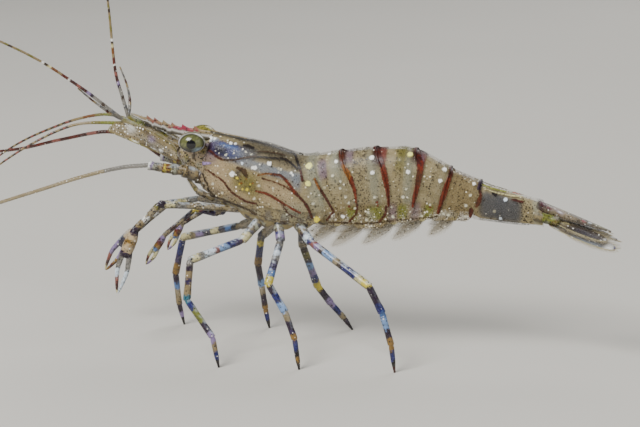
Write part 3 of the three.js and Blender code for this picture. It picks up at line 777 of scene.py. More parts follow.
@dataclass
class Bristles(Piece):
    """Thin tapered hairs in one piece, each with its own small patch on the map."""

    radius: float = 0.026  # real hairs are finer still
    steps: int = 4

    def add(self, roots: Array, ways: Array, sag: Array, places: Array) -> None:
        """Adds hairs as three-sided spikes.

        Args:
            roots: where they grow, one a row.
            ways: from root to tip.
            sag: how their tips bend away.
            places: two numbers from 0 to 1 that say where each root is on its leaf.
        """
        up = np.where(np.abs(unit(ways)[:, 2:3]) > 0.9, [[1.0, 0, 0]], [[0, 0, 1.0]])
        first = unit(np.cross(ways, up))
        second = unit(np.cross(ways, first))
        step, turn = np.divmod(np.arange(3 * self.steps + 3), 3)
        share, angle = step[:, None] / self.steps, turn[:, None] * 2 * math.pi / 3
        centre = roots[:, None] + ways[:, None] * share + sag * share**2
        offset = first[:, None] * np.cos(angle) + second[:, None] * np.sin(angle)
        index = self._store([centre + offset * self.radius * (1 - 0.85 * share)], {})
        start = np.arange(3 * self.steps)
        after = start - start % 3 + (start + 1) % 3
        self.faces.append(index[:, np.stack([start, after, after + 3, start + 3], axis=1)].reshape(-1, 4))
        self.caps += index[:, [[2, 1, 0], [-3, -2, -1]]].reshape(-1, 3).tolist()
        spots = places[:, None] * 0.99 + np.stack([turn, step], axis=1) * (0.001, 0.0006)
        self.spots.append(spots.reshape(-1, 2))

    def fringe(self, edge: Array, away: Array, onward: Array, length: float, gap: float, seed: int) -> None:
        """Grows a comb of hairs along an edge.

        Args:
            edge: the edge's points.
            away: the direction out from the edge.
            onward: the direction towards the leaf's tip.
            length: of the longest hairs.
            gap: between hairs.
            seed: picks their small differences.
        """
        roots = evenly(edge, gap)
        share = np.linspace(0, 1, len(roots))[:, None]
        lean = unit(unit(away) * (1 - 0.35 * share) + unit(onward) * (0.45 + 0.75 * share))
        size = length * (0.45 + 0.55 * np.sin(math.pi * np.clip(share * 0.8 + 0.15, 0, 1)))
        jitter = np.random.default_rng(seed).normal(size=roots.shape) * 0.07
        places = np.concatenate([share, np.full_like(share, (seed % 29) / 29)], axis=1)
        self.add(roots, (lean + jitter) * size, unit(onward) * length * 0.15, places)


@dataclass
class Part:
    """A sub-assembly, which knows how far the drawing frame lies from the row frame."""

    shift: Array

    def metres(self, points: Array) -> Array:
        """Points of the drawing frame, in metres in the row frame."""
        return (np.asarray(points, float) + self.shift) / 1000

    def make(self, piece: Piece, finish: Cuticle, slot: str, *nodes: str) -> None:
        """Makes a piece's object, dresses it and lets it ride on the frame.

        Args:
            piece: the mesh.
            finish: its finish.
            slot: the record's slot of that finish; not used.
            nodes: the frame's nodes that it stands for.
        """
        mesh = bpy.data.meshes.new(piece.name)
        points = self.metres(np.concatenate(piece.points))
        mesh.from_pydata(points.tolist(), [], np.concatenate(piece.faces).tolist() + piece.caps)
        for key, (kind, target, _) in LAYERS.items():
            if key in piece.used:
                values = np.concatenate(piece.layers[key]).astype(np.float32)
                mesh.attributes.new(key, kind, "POINT").data.foreach_set(target, values.ravel())
        mesh.shade_smooth()
        mesh.materials.append(finish.material())
        mesh.validate()
        if piece.spots:
            corners = np.zeros(len(mesh.loops), np.int32)
            mesh.loops.foreach_get("vertex_index", corners)
            spots = np.concatenate(piece.spots)[corners].astype(np.float32)
            mesh.uv_layers.new(name="OFBake").data.foreach_set("uv", spots.ravel())
        made = bpy.data.objects.new(piece.name, mesh)
        bpy.context.scene.collection.objects.link(made)
        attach(made, "root")
        if nodes:
            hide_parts(*nodes)
        log.info("%s: %d points, %d faces", piece.name, len(mesh.vertices), len(mesh.polygons))


# ---- the body's form
# x and z of the back, x and z of the lower edge, and the half width: at the orbit, at four places up to the
# carapace's rear, and at the rear of each segment.
STATIONS = table(
    "-17.3 33.8 -18.7 24.6 2.7, -13 33.1 -13.4 23 3.5, -8 32.2 -8.4 21.2 3.85, -3.6 30.9 -3.4 20.5 3.8,"
    "-.6 30.9 1.4 20.7 3.6, 3.3 31.5 5.2 20.9 3.5, 8.7 32.2 9.9 21.2 3.4, 14.9 32.2 14.3 21.8 3.1,"
    "20.2 29.6 18.6 22.3 2.6, 24.8 27.7 24.2 22.2 2.05, 33.9 25.1 34.1 21.4 1.5"
)


@dataclass(frozen=True)
class BodyForm:
    """The outer form of head, trunk and tail: places run 0 to 10 by station, shares -1 to 1 across."""

    broadest: float = 0.42
    tuck: float = 0.16
    step: float = 0.01  # for the slopes
    belly: float = 0.45  # how far the sixth segment swells below

    def surface(self, place: Array, share: Array) -> Array:
        """Points on the body.

        Args:
            place: stations from the orbit.
            share: 0 at the back, -1 and 1 at the left and right lower edge.

        Returns:
            The points, in the last axis.
        """
        station, size = through(STATIONS, np.clip(place, -0.3, 10.2)), np.abs(share)
        arch, low = np.minimum(size, 0.5) * math.pi, np.maximum(size - 0.5, 0) * 2
        down = self.broadest * (1 - np.cos(arch)) + (1 - self.broadest) * low
        out = np.sin(arch) ** 0.9 * (1 - self.tuck * low * low)
        return between(station, down, np.sign(share) * out * station[..., 4])

    def lifted(self, place: Array, share: Array, lift: Array) -> Array:
        """Points a little outside the body.

        Args:
            place: stations from the orbit.
            share: 0 at the back, -1 and 1 at the left and right lower edge.
            lift: how far outside, or inside where it is below 0.

        Returns:
            The points.
        """
        e = self.step
        along = self.surface(place + e, share) - self.surface(place - e, share)
        around = self.surface(place, share + e) - self.surface(place, share - e)
        return self.surface(place, share) - unit(np.cross(around, along)) * lift[..., None]

    def sleeve(self, place: Array, share: Array, lift: Array) -> Array:
        """Points on the sixth segment, which is oval.

        Args:
            place: stations from the orbit.
            share: -1 to 1 round the oval from below over the back.
            lift: distance outside it.

        Returns:
            The points.
        """
        station, angle = through(STATIONS, place), share * math.pi
        middle, tall = (mixed(station[..., :2], way * station[..., 2:4], 0.5) for way in (1, -1))
        x = middle[..., 0] + tall[..., 0] * np.cos(angle)
        z = middle[..., 1] + (tall[..., 1] + lift) * np.cos(angle)
        swell = np.maximum(-np.cos(angle), 0) * smooth(place, 8.7, 9.1) * (1 - smooth(place, 9.6, 10.0))
        return np.stack([x, np.sin(angle) * (station[..., 4] + lift), z - self.belly * swell], axis=-1)


FORM = BodyForm()
BODY_STEP = 0.14  # mm between points on the body


@dataclass(frozen=True)
class Markings:
    """Where the body's pigment lies on both sides, by place along the body and share down the flank."""

    # Painted lines: place, share and width along each.
    courses: str = """
BRICK 5.02 .03 .5, 5.05 .12 .6, 5.11 .27 .65; AMBER 5.13 .3 .55, 5.23 .38 .7, 5.3 .45 .6; RUST 5.3 .44 .6,
5.36 .55 .5, 5.38 .66 .4, 5.37 .73 .3; MAROON 5.39 .76 .3, 5.3 .87 .35, 5.02 .97 .35; MAROON 6 .03 .6,
6.08 .14 .65, 6.16 .25 .7, 6.23 .34 .7; RUST 6.23 .33 .7, 6.27 .42 .8, 6.31 .53 .7, 6.34 .65 .5, 6.34 .8
.3; MAROON 6.26 .8 .3, 6.2 .9 .35, 6 .98 .35; MAROON 7 .03 .6, 7.09 .14 .75, 7.18 .26 .85; RUST 7.19 .25
.9, 7.22 .36 .85; BRICK 7.22 .36 .85, 7.2 .52 .75; RUST 7.2 .52 .7, 7.14 .7 .55, 7.1 .82 .35; MAROON 8.01
.03 .5, 8.06 .2 .6, 8.06 .32 .5; RUST 8.06 .28 .55, 8.03 .55 .75, 8 .7 .55, 7.98 .92 .4; PLUM 9 .05 .5, 9
.28 .55; MAROON 9 .27 .4, 9.05 .4 .45; BRICK 9.05 .42 .45, 9.03 .55 .6, 9 .68 .5; MAROON 8.9 .79 .6, 8.91
.94 .5; AMBER 3.97 .42 .3, 4.1 .54 .45; MAROON 4.1 .53 .35, 4.25 .65 .4, 4.48 .85 .3; MAROON 4.45 .85 .3,
4.34 .88 .35, 4.11 .95 .3, 3.96 .99 .3; UMBER 3.94 .99 .25, 4.34 .99 .25, 4.95 .99 .2; UMBER 5 1 .2, 6 .99
.2, 7 .99 .15, 8 .99 .15; INK .05 .04 .35, .65 .05 .4, 1.6 .05 .45, 2.4 .05 .4, 2.8 .05 .4; INK 2.8 .03
.35, 2.99 .08 .35, 3.15 .2 .35, 3.33 .31 .35; MAROON 3.33 .31 .35, 3.39 .38 .3, 3.43 .43 .4; MAROON .04
.39 .35, .23 .38 .4, .46 .42 .35, .7 .44 .3; UMBER .7 .44 .25, 1.03 .41 .25, 1.43 .34 .3, 1.75 .29 .25;
INK 1.75 .29 .25, 2.19 .26 .25, 2.64 .21 .3, 2.91 .24 .3, 3.18 .3 .3; INK 1.33 .19 .35, 1.45 .18 .55, 1.61
.19 .4; UMBER 1.75 .23 .2, 2 .2 .25, 2.31 .17 .25, 2.64 .15 .2; UMBER 1.2 .48 .4, 1.41 .49 .7, 1.51 .55
.4; AMBER 1.86 .49 .2, 2.09 .45 .25, 2.31 .43 .3; BRICK 2.31 .43 .35, 2.58 .42 .4, 2.78 .45 .4; RUST 2.78
.45 .45, 2.96 .52 .4, 3.1 .59 .55; MAROON 3.1 .59 .5, 3.28 .65 .4, 3.46 .74 .45, 3.56 .84 .4, 3.6 .92 .35;
BRICK 1.99 .51 .2, 2.41 .51 .2, 2.75 .53 .25, 2.99 .57 .25; RUST 1.81 .69 .3, 2.1 .68 .35, 2.35 .7 .4,
2.61 .74 .35, 2.9 .79 .3; RUST 2.9 .79 .4, 3.23 .85 .3; MAROON 2.61 .77 .15, 2.76 .83 .2, 2.89 .89 .2,
3.15 .92 .15, 3.26 .96 .15; MAROON .16 .64 .25, .41 .67 .3, .75 .72 .35, .95 .8 .35, 1.18 .85 .35; MAROON
1.18 .85 .35, 1.46 .87 .3, 1.81 .85 .3; INK .06 .72 .25, .14 .78 .3, .27 .86 .25, .29 .92 .25, .5 .97 .25;
INK .12 .86 .25, .16 .93 .3, .3 .98 .3, .83 .98 .25, 1.6 .97 .25; UMBER 1.6 .98 .2, 2.41 .985 .15, 3.5
.985 .15; LILAC .02 .57 .5, .21 .54 .4, .3 .53 .2; LEAF 9.06 .13 .35, 9.25 .16 .3, 9.45 .12 .35; CREAM 9.1
.24 .2, 9.35 .24 .22, 9.55 .2 .25, 9.7 .12 .25; ORANGE 9.58 .05 .5, 9.66 .05 .4; MAROON 9.57 .32 .35, 9.72
.3 .45; INK 9.25 .28 .4, 9.31 .3 .5; UMBER 9.05 .97 .25, 9.5 .98 .2, 9.9 .98 .2"""
    # Round spots: place, share and radius.
    dabs: str = """
PRIMROSE 3.76 .26 .62, 6.89 .18 .5, 3.65 .47 .5; LEMON 3.76 .94 .56; PEARL 4.81 .91 .36, 5.94 .23 .44,
5.95 .4 .36, 6.89 .4 .38, 7.83 .38 .34, 7.86 .17 .42, 8.86 .21 .34, 1.75 .42 .4, 1.68 .43 .28, 2.19 .33
.42, 1.04 .58 .52, 2.96 .36 .26, 3.02 .38 .2, .02 .21 .3, .14 .2 .34, .3 .19 .26, .9 .2 .32, 1.05 .19 .26,
4.62 .09 .28, 4.9 .24 .34; CHALK 3.73 .73 .26, 4.36 .9 .22, 5.6 .95 .3, 5.68 .86 .26, 6.45 .94 .3, 7.46
.96 .28, 8.83 .46 .28, 8.76 .7 .28, 8.31 .95 .3, 8.15 .93 .26, 8.79 .95 .26, 1.43 .27 .18, 1.59 .28 .2, .8
.37 .22, .55 .38 .18, 2.59 .35 .24, .43 .81 .24, .73 .89 .22, 1.75 .79 .3, 1.9 .61 .22, 2.35 .59 .22, 2.48
.49 .18, 4.72 .4 .3, 4.97 .47 .2, 4.92 .55 .22, 5.05 .66 .22, 5.13 .73 .2, 5.94 .68 .26, 6.78 .7 .3, 6.86
.6 .2, 7.68 .78 .22, 5.3 .8 .2, 6.42 .82 .22; ICE 9.47 .36 .4, 9.41 .94 .46, 1.35 .41 .28; RUST 5.12 .78
.22, 5.18 .81 .2, 5.99 .74 .24, 6 .78 .22, 7.7 .82 .2; LEMON 1.2 .61 .24, 1.53 .71 .26, 1.38 .73 .18, 1.62
.63 .16, 1.28 .68 .16; AMBER 1.34 .66 .24, 1.7 .61 .18, 1.5 .58 .16, 1.3 .58 .14; INK 1.6 .66 .16, 1.45
.62 .16, 4.81 .91 .1, 1.33 .61 .13, 1.24 .65 .12, 1.48 .68 .13, 1.66 .7 .12, 1.12 .63 .12, 1.42 .76 .12,
1.76 .66 .1"""
    # Soft colours of the deeper tissue: place, share, reach along and down, cover, firmness.
    clouds: str = """
SAND 6.4 .95 2.75 .17 .75 3; TAWNY 8.5 .45 .5 .6 .4 2; GREY 2.4 .1 1.3 .22 .5 2; FAWN .8 .65 .85 .27 .8;
FAWN 2.5 .62 .75 .2 .45; HAZE 3.9 .4 .32 .5 .35; HAZE 4.8 .25 .22 .26 .4; HAZE 5.95 .45 .16 .3 .25; HAZE
6.9 .5 .13 .4 .25; MAUVE 4.33 .3 .18 .13 .6 3; MAUVE 5.3 .14 .12 .12 .6; BRICK 5.08 .1 .11 .16 .85; MAROON
6.1 .08 .15 .22 .95 2; ROSE 6.22 .15 .08 .14 .85; MAROON 7.12 .1 .18 .16 .9 2; ROSE 7.26 .13 .06 .08 .5;
MAUVE 7.2 .2 .08 .1 .6; OLIVE 6.68 .12 .12 .25 .6; DUSK 1.35 .28 .4 .08 .85 2.5; COBALT .72 .31 .58 .105 1
2.5; VIOLET .25 .31 .26 .11 .85 2; INK .58 .33 .24 .06 .95 2; STEEL .85 .25 .32 .03 .6 2; MIST 1.15 .31
.22 .04 .35 2; PLUM .14 .34 .14 .06 .8 2; ICE .1 .2 .25 .03 1; MIST 2 .4 1.2 .055 .5 2.5; MIST 3.15 .45 .2
.1 .5; MAUVE .25 .47 .25 .06 .5; OLIVE 1.42 .64 .42 .14 .8; SLATE 1.22 .55 .1 .06 .7; HAZE 3 .85 .4 .12
.3; LEAF 5.16 .88 .17 .08 .85 2.5; LEAF 5.9 .88 .26 .08 .85 2.5; LEAF 6.76 .89 .17 .09 .85 2.5; LEAF 7.66
.89 .15 .1 .9 2.5; MAUVE 6.45 .9 .14 .1 .7; MAUVE 7.2 .9 .16 .12 .65; CHALK 5.72 .9 .1 .05 .6; CHALK 8.3
.93 .25 .05 .4; DUSK 9.27 .62 .22 .36 .95 4; DUSK 9.52 .64 .2 .38 .95 4; HAZE 9.93 .5 .05 .6 .5; PLUM 10
.2 .06 .2 .8"""
    # Columns of fine dots: place, width and lean.
    columns: str = """
4.42 .06 .5, 5.45 .05 .1, 5.6 .06 .1, 5.75 .05 0, 6.57 .025 0, 6.68 .025 0, 7.6 .05 -.2, 8.3 .05 0,
8.5 .05 0, 8.65 .04 0"""
    firm: float = 1.5  # how firm a cloud's rim is, where it doesn't say

    def strokes(self) -> tuple[list, list]:
        """The marks on the left flank, for nearest_mark.

        Returns:
            The lines and the spots.
        """
        lines, spots = [], []
        for hue, way in pigment(self.courses):
            place, share, width = through(way, np.linspace(0, len(way) - 1, 6 * len(way))).T
            line = FORM.surface(place, -np.clip(share, 0.001, 1))
            lines.append((line, 0.5 * width + 0.05 * smooth(width, 0.4, 0.6), hue.tone))
        for hue, rows in pigment(self.dabs):
            for place, share, radius in rows[:, :, None].repeat(2, axis=2):
                spots.append((FORM.surface(place, -share), radius * 0.82, hue.tone))
        return lines, spots

    def painted(
        self, place: Array, share: Array, points: Array, skin: Array, strength: float
    ) -> dict[str, Array]:
        """The values painted on a plate.

        Args:
            place: stations, for each point.
            share: shares over the back.
            points: the points.
            skin: where the marks see them.
            strength: how much of the stain the plate carries.

        Returns:
            Each layer's values.
        """
        grid, size = (*place.shape, -1), np.abs(share)
        lines, spots = (nearest_mark(skin, marks).reshape(grid) for marks in self.strokes())
        return {
            "stain": self.stain(place, share, points, strength),
            "lines": lines,
            "spots": spots,
            "freckle": self._freckle(place, size)[..., None],
            "chalk": self._chalk(place, size)[..., None],
        }

    def stain(self, place: Array, share: Array, points: Array, strength: float = 1) -> Array:
        """Soft colours of the deeper tissue.

        Args:
            place: stations, for each point.
            share: shares over the back.
            points: the points, for unevenness.
            strength: how much of the stain this layer carries.

        Returns:
            Red, green, blue and cover.
        """
        colour, cover = np.zeros((*place.shape, 3)), np.zeros((*place.shape, 1))
        rough = 1 + 0.35 * ripple(points, 0.9, 11)
        for hue, ((x, y, length, width, most, *firm),) in pigment(self.clouds):
            along, down = (place - x) / length, (np.abs(share) - y) / width
            level = np.exp(-(np.hypot(along**2, down**2) ** (*firm, self.firm)[0]) * rough) * most
            weight = np.minimum(level * strength, 1)[..., None]
            colour, cover = mixed(colour, hue.tone, weight), mixed(cover, 1, weight)
        return np.concatenate([colour / np.maximum(cover, 1e-6), cover], axis=-1)

    def _freckle(self, place: Array, size: Array) -> Array:
        """How many fine dots there are: columns down each segment, and a dusting on the rest.

        Args:
            place: stations.
            size: shares down the flank.

        Returns:
            The share of dots that show.
        """
        wanted = np.full(place.shape, 0.07)
        for column, width, lean in table(self.columns):
            wanted += 0.9 * peak(place - lean * (size - 0.4), column, width)
        wanted += 1.2 * smooth(place, 9.68, 9.72) * (1 - smooth(place, 9.86, 9.9)) * smooth(size, 0.15, 0.3)
        wanted += 0.2 * (1 - smooth(place, 0.2, 0.6)) * smooth(size, 0.5, 0.6)
        wanted += 0.4 * peak(place, 2.3, 0.7) * peak(size, 0.2, 0.06) + 0.35 * smooth(size, 0.84, 0.92)
        return wanted * (1 - 0.9 * smooth(place, 9.1, 9.15) * (1 - smooth(place, 9.6, 9.68)))

    @staticmethod
    def _chalk(place: Array, size: Array) -> Array:
        """How many pale specks there are: most along the lower margins."""
        low = smooth(size, 0.8, 0.9) * smooth(place, 4.6, 5.2) * (1 - smooth(place, 8.9, 9.1))
        return 0.08 + 0.38 * low + 0.25 * peak(place, 1.35, 0.3) * peak(size, 0.27, 0.08)


MARKINGS = Markings()


# ---- trunk
@dataclass(frozen=True)
class Plate:
    """A shell plate: its number, its places front and rear, how its rear slants down, and how it lies."""

    number: int
    front: float
    rear: float
    slant: float
    low_lift: float = 0.04  # lift of the lower flank's front, over the plate before where it is high
    corner: float = 0.3  # rounding of the lower corners, in places
    depth: float = 1.02


@dataclass
class Armour(Part):
    """The clear plates over trunk and tail."""

    thickness: float = 0.14
    front_lift: float = 0.04
    rear_lift: float = 0.2
    rim_rise: float = 0.07
    rim_width: float = 0.22
    girth: float = 27.0
    carapace_step: float = 0.15
    carapace_size: tuple[float, float] = (22.0, 29.0)  # length and girth
    plates: tuple[Plate, ...] = (
        Plate(1, 3.72, 5.02, 0.3, corner=0.32),
        Plate(2, 4.72, 6.02, 0.32, low_lift=0.34, corner=0.36, depth=1.06),
        Plate(3, 5.74, 7.02, 0.13),
        Plate(4, 6.76, 8.02, 0.0),
        Plate(5, 7.78, 9.02, -0.06, corner=0.18, depth=1.06),
    )

    def build(self) -> None:
        """Builds every plate."""
        for plate in self.plates:
            self._tail_plate(plate)
        self._last_plate()
        self._carapace()

    def _sheet(self, name: str, place: Array, share: Array, lift: Array, node_name: str) -> None:
        """Makes a plate.

        Args:
            name: the piece's.
            place: stations of its points.
            share: their shares over the back, in one row.
            lift: how far its outer surface stands off the body.
            node_name: the node that it stands for.
        """
        share = np.broadcast_to(share, place.shape)
        outer, inner = (FORM.lifted(place, share, lift - depth) for depth in (0, self.thickness))
        piece = Piece(name)
        piece.shell(outer, inner, **MARKINGS.painted(place, share, outer, FORM.surface(place, share), 0.85))
        self.make(piece, PLATE, "shell", node_name)

    def _tail_plate(self, plate: Plate) -> None:
        """Makes one of the first five tail plates, with its side lobes.

        Args:
            plate: which one.
        """
        ends = FORM.surface(np.array([plate.front, plate.rear]), np.array([-0.3, -0.3]))
        length = travelled(ends)[-1]
        share = np.linspace(-1, 1, int(self.girth / BODY_STEP))[None] * plate.depth
        size = np.abs(share) / plate.depth
        round_off = plate.corner * (1 - np.sqrt(1 - np.clip((size - 0.72) / 0.28, 0, 0.995) ** 2))
        slant = plate.slant * smooth(size, 0.0, 0.62)
        row = np.linspace(0, 1, int(length / BODY_STEP))[:, None]
        place = mixed(plate.front + round_off + slant * 0.8, plate.rear + slant - round_off, row)
        start = mixed(self.front_lift, plate.low_lift, smooth(size, 0.5, 0.7))
        rim = peak((1 - row) * length, 0, self.rim_width) + smooth(size, 0.965, 1.0)
        lift = mixed(start, self.rear_lift, smooth(row, 0.3, 1.0)) + self.rim_rise * rim
        self._sheet(f"plate_{plate.number}", place, share, lift, f"segment_{plate.number}")

    def _last_plate(self) -> None:
        """Makes the sixth segment's plate, a closed sleeve round the muscle."""
        around = np.linspace(-1, 1, 100, endpoint=False)
        place, share = np.meshgrid(np.linspace(8.86, 10.03, 80), around, indexing="ij")
        rings = FORM.sleeve(place, share, 0.05 + 0.15 * smooth(place, 9.85, 10.0))
        piece = Piece("plate_6")
        piece.tube(rings, **MARKINGS.painted(place, share, rings, rings, 0.6))
        self.make(piece, PLATE, "shell", "segment_6")

    def _carapace(self) -> None:
        """Makes the shield over head and gills, with the notch for the eye and two small spines."""
        rows, columns = (int(size / self.carapace_step) for size in self.carapace_size)
        share = np.linspace(-1, 1, columns)[None]
        size = np.abs(share)
        spines = 0.2 * peak(size, 0.47, 0.016) + 0.14 * peak(size, 0.66, 0.014)
        front = 0.02 + 0.26 * peak(size, 0.3, 0.1) - spines + 0.34 * smooth(size, 0.8, 1.0) ** 2
        rear = 4.02 + 0.12 * smooth(size, 0.2, 0.6) - 0.4 * smooth(size, 0.8, 1.0) ** 2
        row = np.linspace(0, 1, rows)[:, None] ** 1.15
        place = mixed(front, rear, row)
        groove = 0.07 * peak(place - 1.0, (size - 0.4) * 0.9, 0.09) * smooth(size, 0.34, 0.44)
        rim = peak((1 - row) * self.carapace_size[0], 0, self.rim_width) + smooth(size, 0.975, 1.0)
        lift = 0.06 + self.rim_rise * rim - groove + 0.12 * smooth(row, 0.9, 1.0)
        self._sheet("carapace_shield", place, share, lift, "carapace")


@dataclass
class Muscle(Part):
    """The flesh inside the plates, the breast that carries the legs, and the brow between the eyes."""

    inset: float = 0.34
    crease: float = 0.16
    belly_share: float = 0.86
    breast_depth: str = "1.04 1.14 1.17 1.12 1.04"
    breast_roof: float = 0.66
    brow: str = (  # x, z of the top; x, z of the bottom; half width
        "-17.2 32.6 -18.4 26 2.2, -18.2 32.2 -19 26.5 2.1, -19.4 32.3 -20 27.2 2, -21.2 32 -21.4 28.2 1.7,"
        "-22.3 31.5 -22.3 29.4 1.1, -22.7 30.9 -22.7 30.2 .3"
    )

    breast_blotches: str = "SLATE 1 3 .1 .8; HAZE .7 4 .5 .6"
    brow_blotches: str = (
        "FAWN 9 8 -9 .9; HAZE 1.6 9 .1 .7; OLIVE 1.1 12 .3 .7; LILAC .9 10 .7 .7; UMBER .6 11 .35 .85"
    )

    def build(self) -> None:
        """Builds the flesh as one piece, and the brow, which is shell, as another."""
        flesh = Piece("flesh")
        self._trunk(flesh)
        self._breast(flesh)
        self.make(flesh, FLESH, "shell", "breast")
        self._brow()

    def _trunk(self, piece: Piece) -> None:
        """Adds the muscle from the orbit to the last segment, closed below by the belly.

        Args:
            piece: the mesh.
        """
        places, size, belly = np.linspace(0.06, 10.02, 430), np.linspace(1, 0, 84), 15
        place, flank = np.meshgrid(places, np.concatenate([-size, size[-2::-1]]), indexing="ij")
        flank = flank * mixed(self.belly_share, 0.98, smooth(place, 8.8, 9.1))
        nearest = np.round(place)
        seam = peak(place, nearest, 0.07) * (nearest >= 4) * (nearest <= 9)
        dome = 1 - np.sqrt(1 - np.clip(1 - place / 0.3, 0, 1) ** 2)
        inset = self.inset + self.crease * seam + 1.3 * dome
        flanks = FORM.lifted(place, flank, -inset)
        across = np.linspace(1, 0, belly + 2)[1:-1][None, :, None]
        under = mixed(flanks[:, :1], flanks[:, -1:], across)
        rear = smooth(place[:, :1], 8.7, 9.1) * (1 - smooth(place[:, :1], 9.6, 10.0))
        under[..., 2] += (0.27 - 0.6 * rear) * np.sin(math.pi * across[..., 0])
        rings = np.concatenate([flanks, under], axis=1)
        rest = np.zeros((len(places), belly))
        girth = np.broadcast_to(np.linspace(0, 26, rings.shape[1]), rings.shape[:2])
        length = np.broadcast_to(travelled(flanks[:, len(size) // 2])[:, None], girth.shape)
        place = np.concatenate([place, rest + places[:, None]], axis=1)
        stain = MARKINGS.stain(place, np.concatenate([flank, rest + 0.95], axis=1), rings)
        piece.tube(rings, weave=np.stack([length, girth, 0 * girth], axis=-1), stain=stain)

    def _breast(self, piece: Piece) -> None:
        """Adds the underside of the trunk.

        Args:
            piece: the mesh.
        """
        places, angle = np.linspace(0.14, 3.92, 90)[:, None], turns(48)
        low = np.interp(places, range(5), table(self.breast_depth)[0])
        low = low + 0.03 * np.cos((places - 0.15) * 2 * math.pi * 1.6)
        dome = np.sqrt(1 - np.clip(1 - (places - 0.13) / 0.4, 0, 1) ** 2)
        station = through(STATIONS, places)
        height, width = (np.sign(wave) * np.abs(wave) ** 0.7 for wave in (np.cos(angle), np.sin(angle)))
        share = (self.breast_roof + low) / 2 - dome * height * (low - self.breast_roof) / 2
        rings = between(station, share, dome * station[..., 4] * 0.72 * width)
        piece.tube(rings, stain=blotched(rings, self.breast_blotches))

    def _brow(self) -> None:
        """Makes the front of the head between the eyes."""
        piece, slices = Piece("brow_shell"), table(self.brow)
        lofted, angle = through(slices, np.linspace(0, len(slices) - 1, 60))[:, None], turns(48)
        rings = between(lofted, (1 - np.cos(angle)) / 2, np.sin(angle) * lofted[..., 4])
        piece.tube(rings, stain=blotched(rings, self.brow_blotches), freckle=0.7)
        self.make(piece, LIMB, "shell", "brow")


@dataclass
class Rostrum(Part):
    """The beak: a toothed blade in the middle plane that bends up at its tip."""

    top: str = "-30.1 36.1, -27.5 35.45, -25.2 34.85, -23 34.35, -19.5 34, -15.5 33.6, -11.5 32.9"
    keel: str = "-30.1 35.85, -27 34.2, -23.5 33.1, -18.6 32.4, -11.5 32"
    teeth: tuple[float, ...] = (-27.5, -26.3, -24.9, -23.5, -21.8, -19.9, -17.0)
    keel_teeth: tuple[float, ...] = (-26.6, -24.2, -21.8)
    tooth_length: float = 1.15
    tooth_rise: float = 0.45
    half_thick: float = 0.32
    stops: str = "SAND 0 ROSE 15 SAND 25 BERRY 36 SAND 56"
    grid: tuple[int, int] = (360, 22)

    def _toothed(self, x: Array, line: str, teeth: tuple[float, ...], rise: float) -> Array:
        """Heights of an edge with forward-pointing teeth.

        Args:
            x: where to read it.
            line: the edge without them.
            teeth: their tips.
            rise: how far they stand out.

        Returns:
            The heights.
        """
        height = np.interp(x, *table(line).T)
        for tip in teeth:
            behind = np.clip((x - tip) / self.tooth_length, -1, 1)
            height += rise * np.where(behind >= 0, (1 - behind) ** 1.6, np.clip(1 + behind * 9, 0, 1))
        return height

    def build(self) -> None:
        """Builds the blade."""
        x = np.linspace(*table(self.top)[[0, -1], 0], self.grid[0])
        high = self._toothed(x, self.top, self.teeth, self.tooth_rise)[:, None]
        low = self._toothed(x, self.keel, self.keel_teeth, -self.tooth_rise * 0.7)[:, None]
        across, x = np.linspace(0, 1, self.grid[1])[None], x[:, None]
        rib = peak(across, 0.42, 0.16) * 0.45 + 0.55
        half = self.half_thick * rib * (1 - (2 * across - 1) ** 6) * smooth(x, -30.3, -28.5) + 0.03
        z = mixed(low, high, across)
        left, right = (np.stack([x + 0 * z, way * half, z], axis=-1) for way in (-1, 1))
        rosy = banded(bands(self.stops), (x - x[0]) / (x[-1] - x[0]), left, 0.1, 0.03)
        crest, rib_highlight = smooth(across, 0.5, 0.75)[..., None], peak(across, 0.42, 0.14)[..., None]
        rosy = mixed(np.array(rgba(Hue.GREY.value)), rosy, crest)
        # Painted highlight: a near-white line along the rib on each face of the blade.
        rosy[..., :3] = mixed(rosy[..., :3], linear("#E8E4DC"), 0.7 * rib_highlight)
        rosy[..., 3] = 0.85
        piece = Piece("rostrum")
        piece.shell(left, right, stain=rosy, freckle=0.35)
        self.make(piece, BEAK, "shell", "beak")


# ---- limbs and leaves
@dataclass(frozen=True)
class LimbPlan:
    """A jointed limb: its joints, the radius at each of them, and its rings of pigment."""

    joints: str
    radii: str
    stops: str
    spacing: float = 0.1
    bend: float = 0.45
    sides: int = 16
    swelling: float = 0.14
    waist: float = 0.16
    tip: float = 1.0  # radius left at the very tip, as a share
    tip_from: float = 0.92
    freckle: float = 0.3
    soft_mm: float = 0.3
    ragged_mm: float = 0.24
    paleness: float = 0.7  # strength of the painted highlight streaks above, with painted shade below

    def add_to(self, piece: Piece, side: Side, total: float | None = None) -> Array:
        """Adds the limb to a piece.

        Args:
            piece: the mesh.
            side: which.
            total: the length that the stops count, where the limb is part of a longer one.

        Returns:
            The line down its middle.
        """
        joints = side.at(self.joints)
        line, marks = jointed(joints, self.spacing, self.bend), travelled(joints)
        distance = np.linspace(0, marks[-1], len(line))
        radius = np.interp(distance, marks, table(self.radii)[0])
        for start, end in zip(marks[:-1], marks[1:]):
            local = (distance - start) / (end - start)
            swell, waist = smooth(local, 0.55, 0.9) - 0.5, 1 - smooth(local, 0.0, 0.1)
            shaped = radius * (1 + self.swelling * swell - self.waist * waist)
            radius = np.where((local >= 0) & (local <= 1), shaped, radius)
        radius = radius * (1 - (1 - self.tip) * smooth(distance / marks[-1], self.tip_from, 1.0))
        rings = rings_along(line, radius, self.sides)
        rings[..., 2] = np.maximum(rings[..., 2], 0.0)
        whole = total or marks[-1]
        soft, ragged, stops = self.soft_mm / whole, self.ragged_mm / whole, bands(self.stops)
        piece.limb(rings, distance / whole, stops, soft, ragged, self.paleness, freckle=self.freckle)
        return line


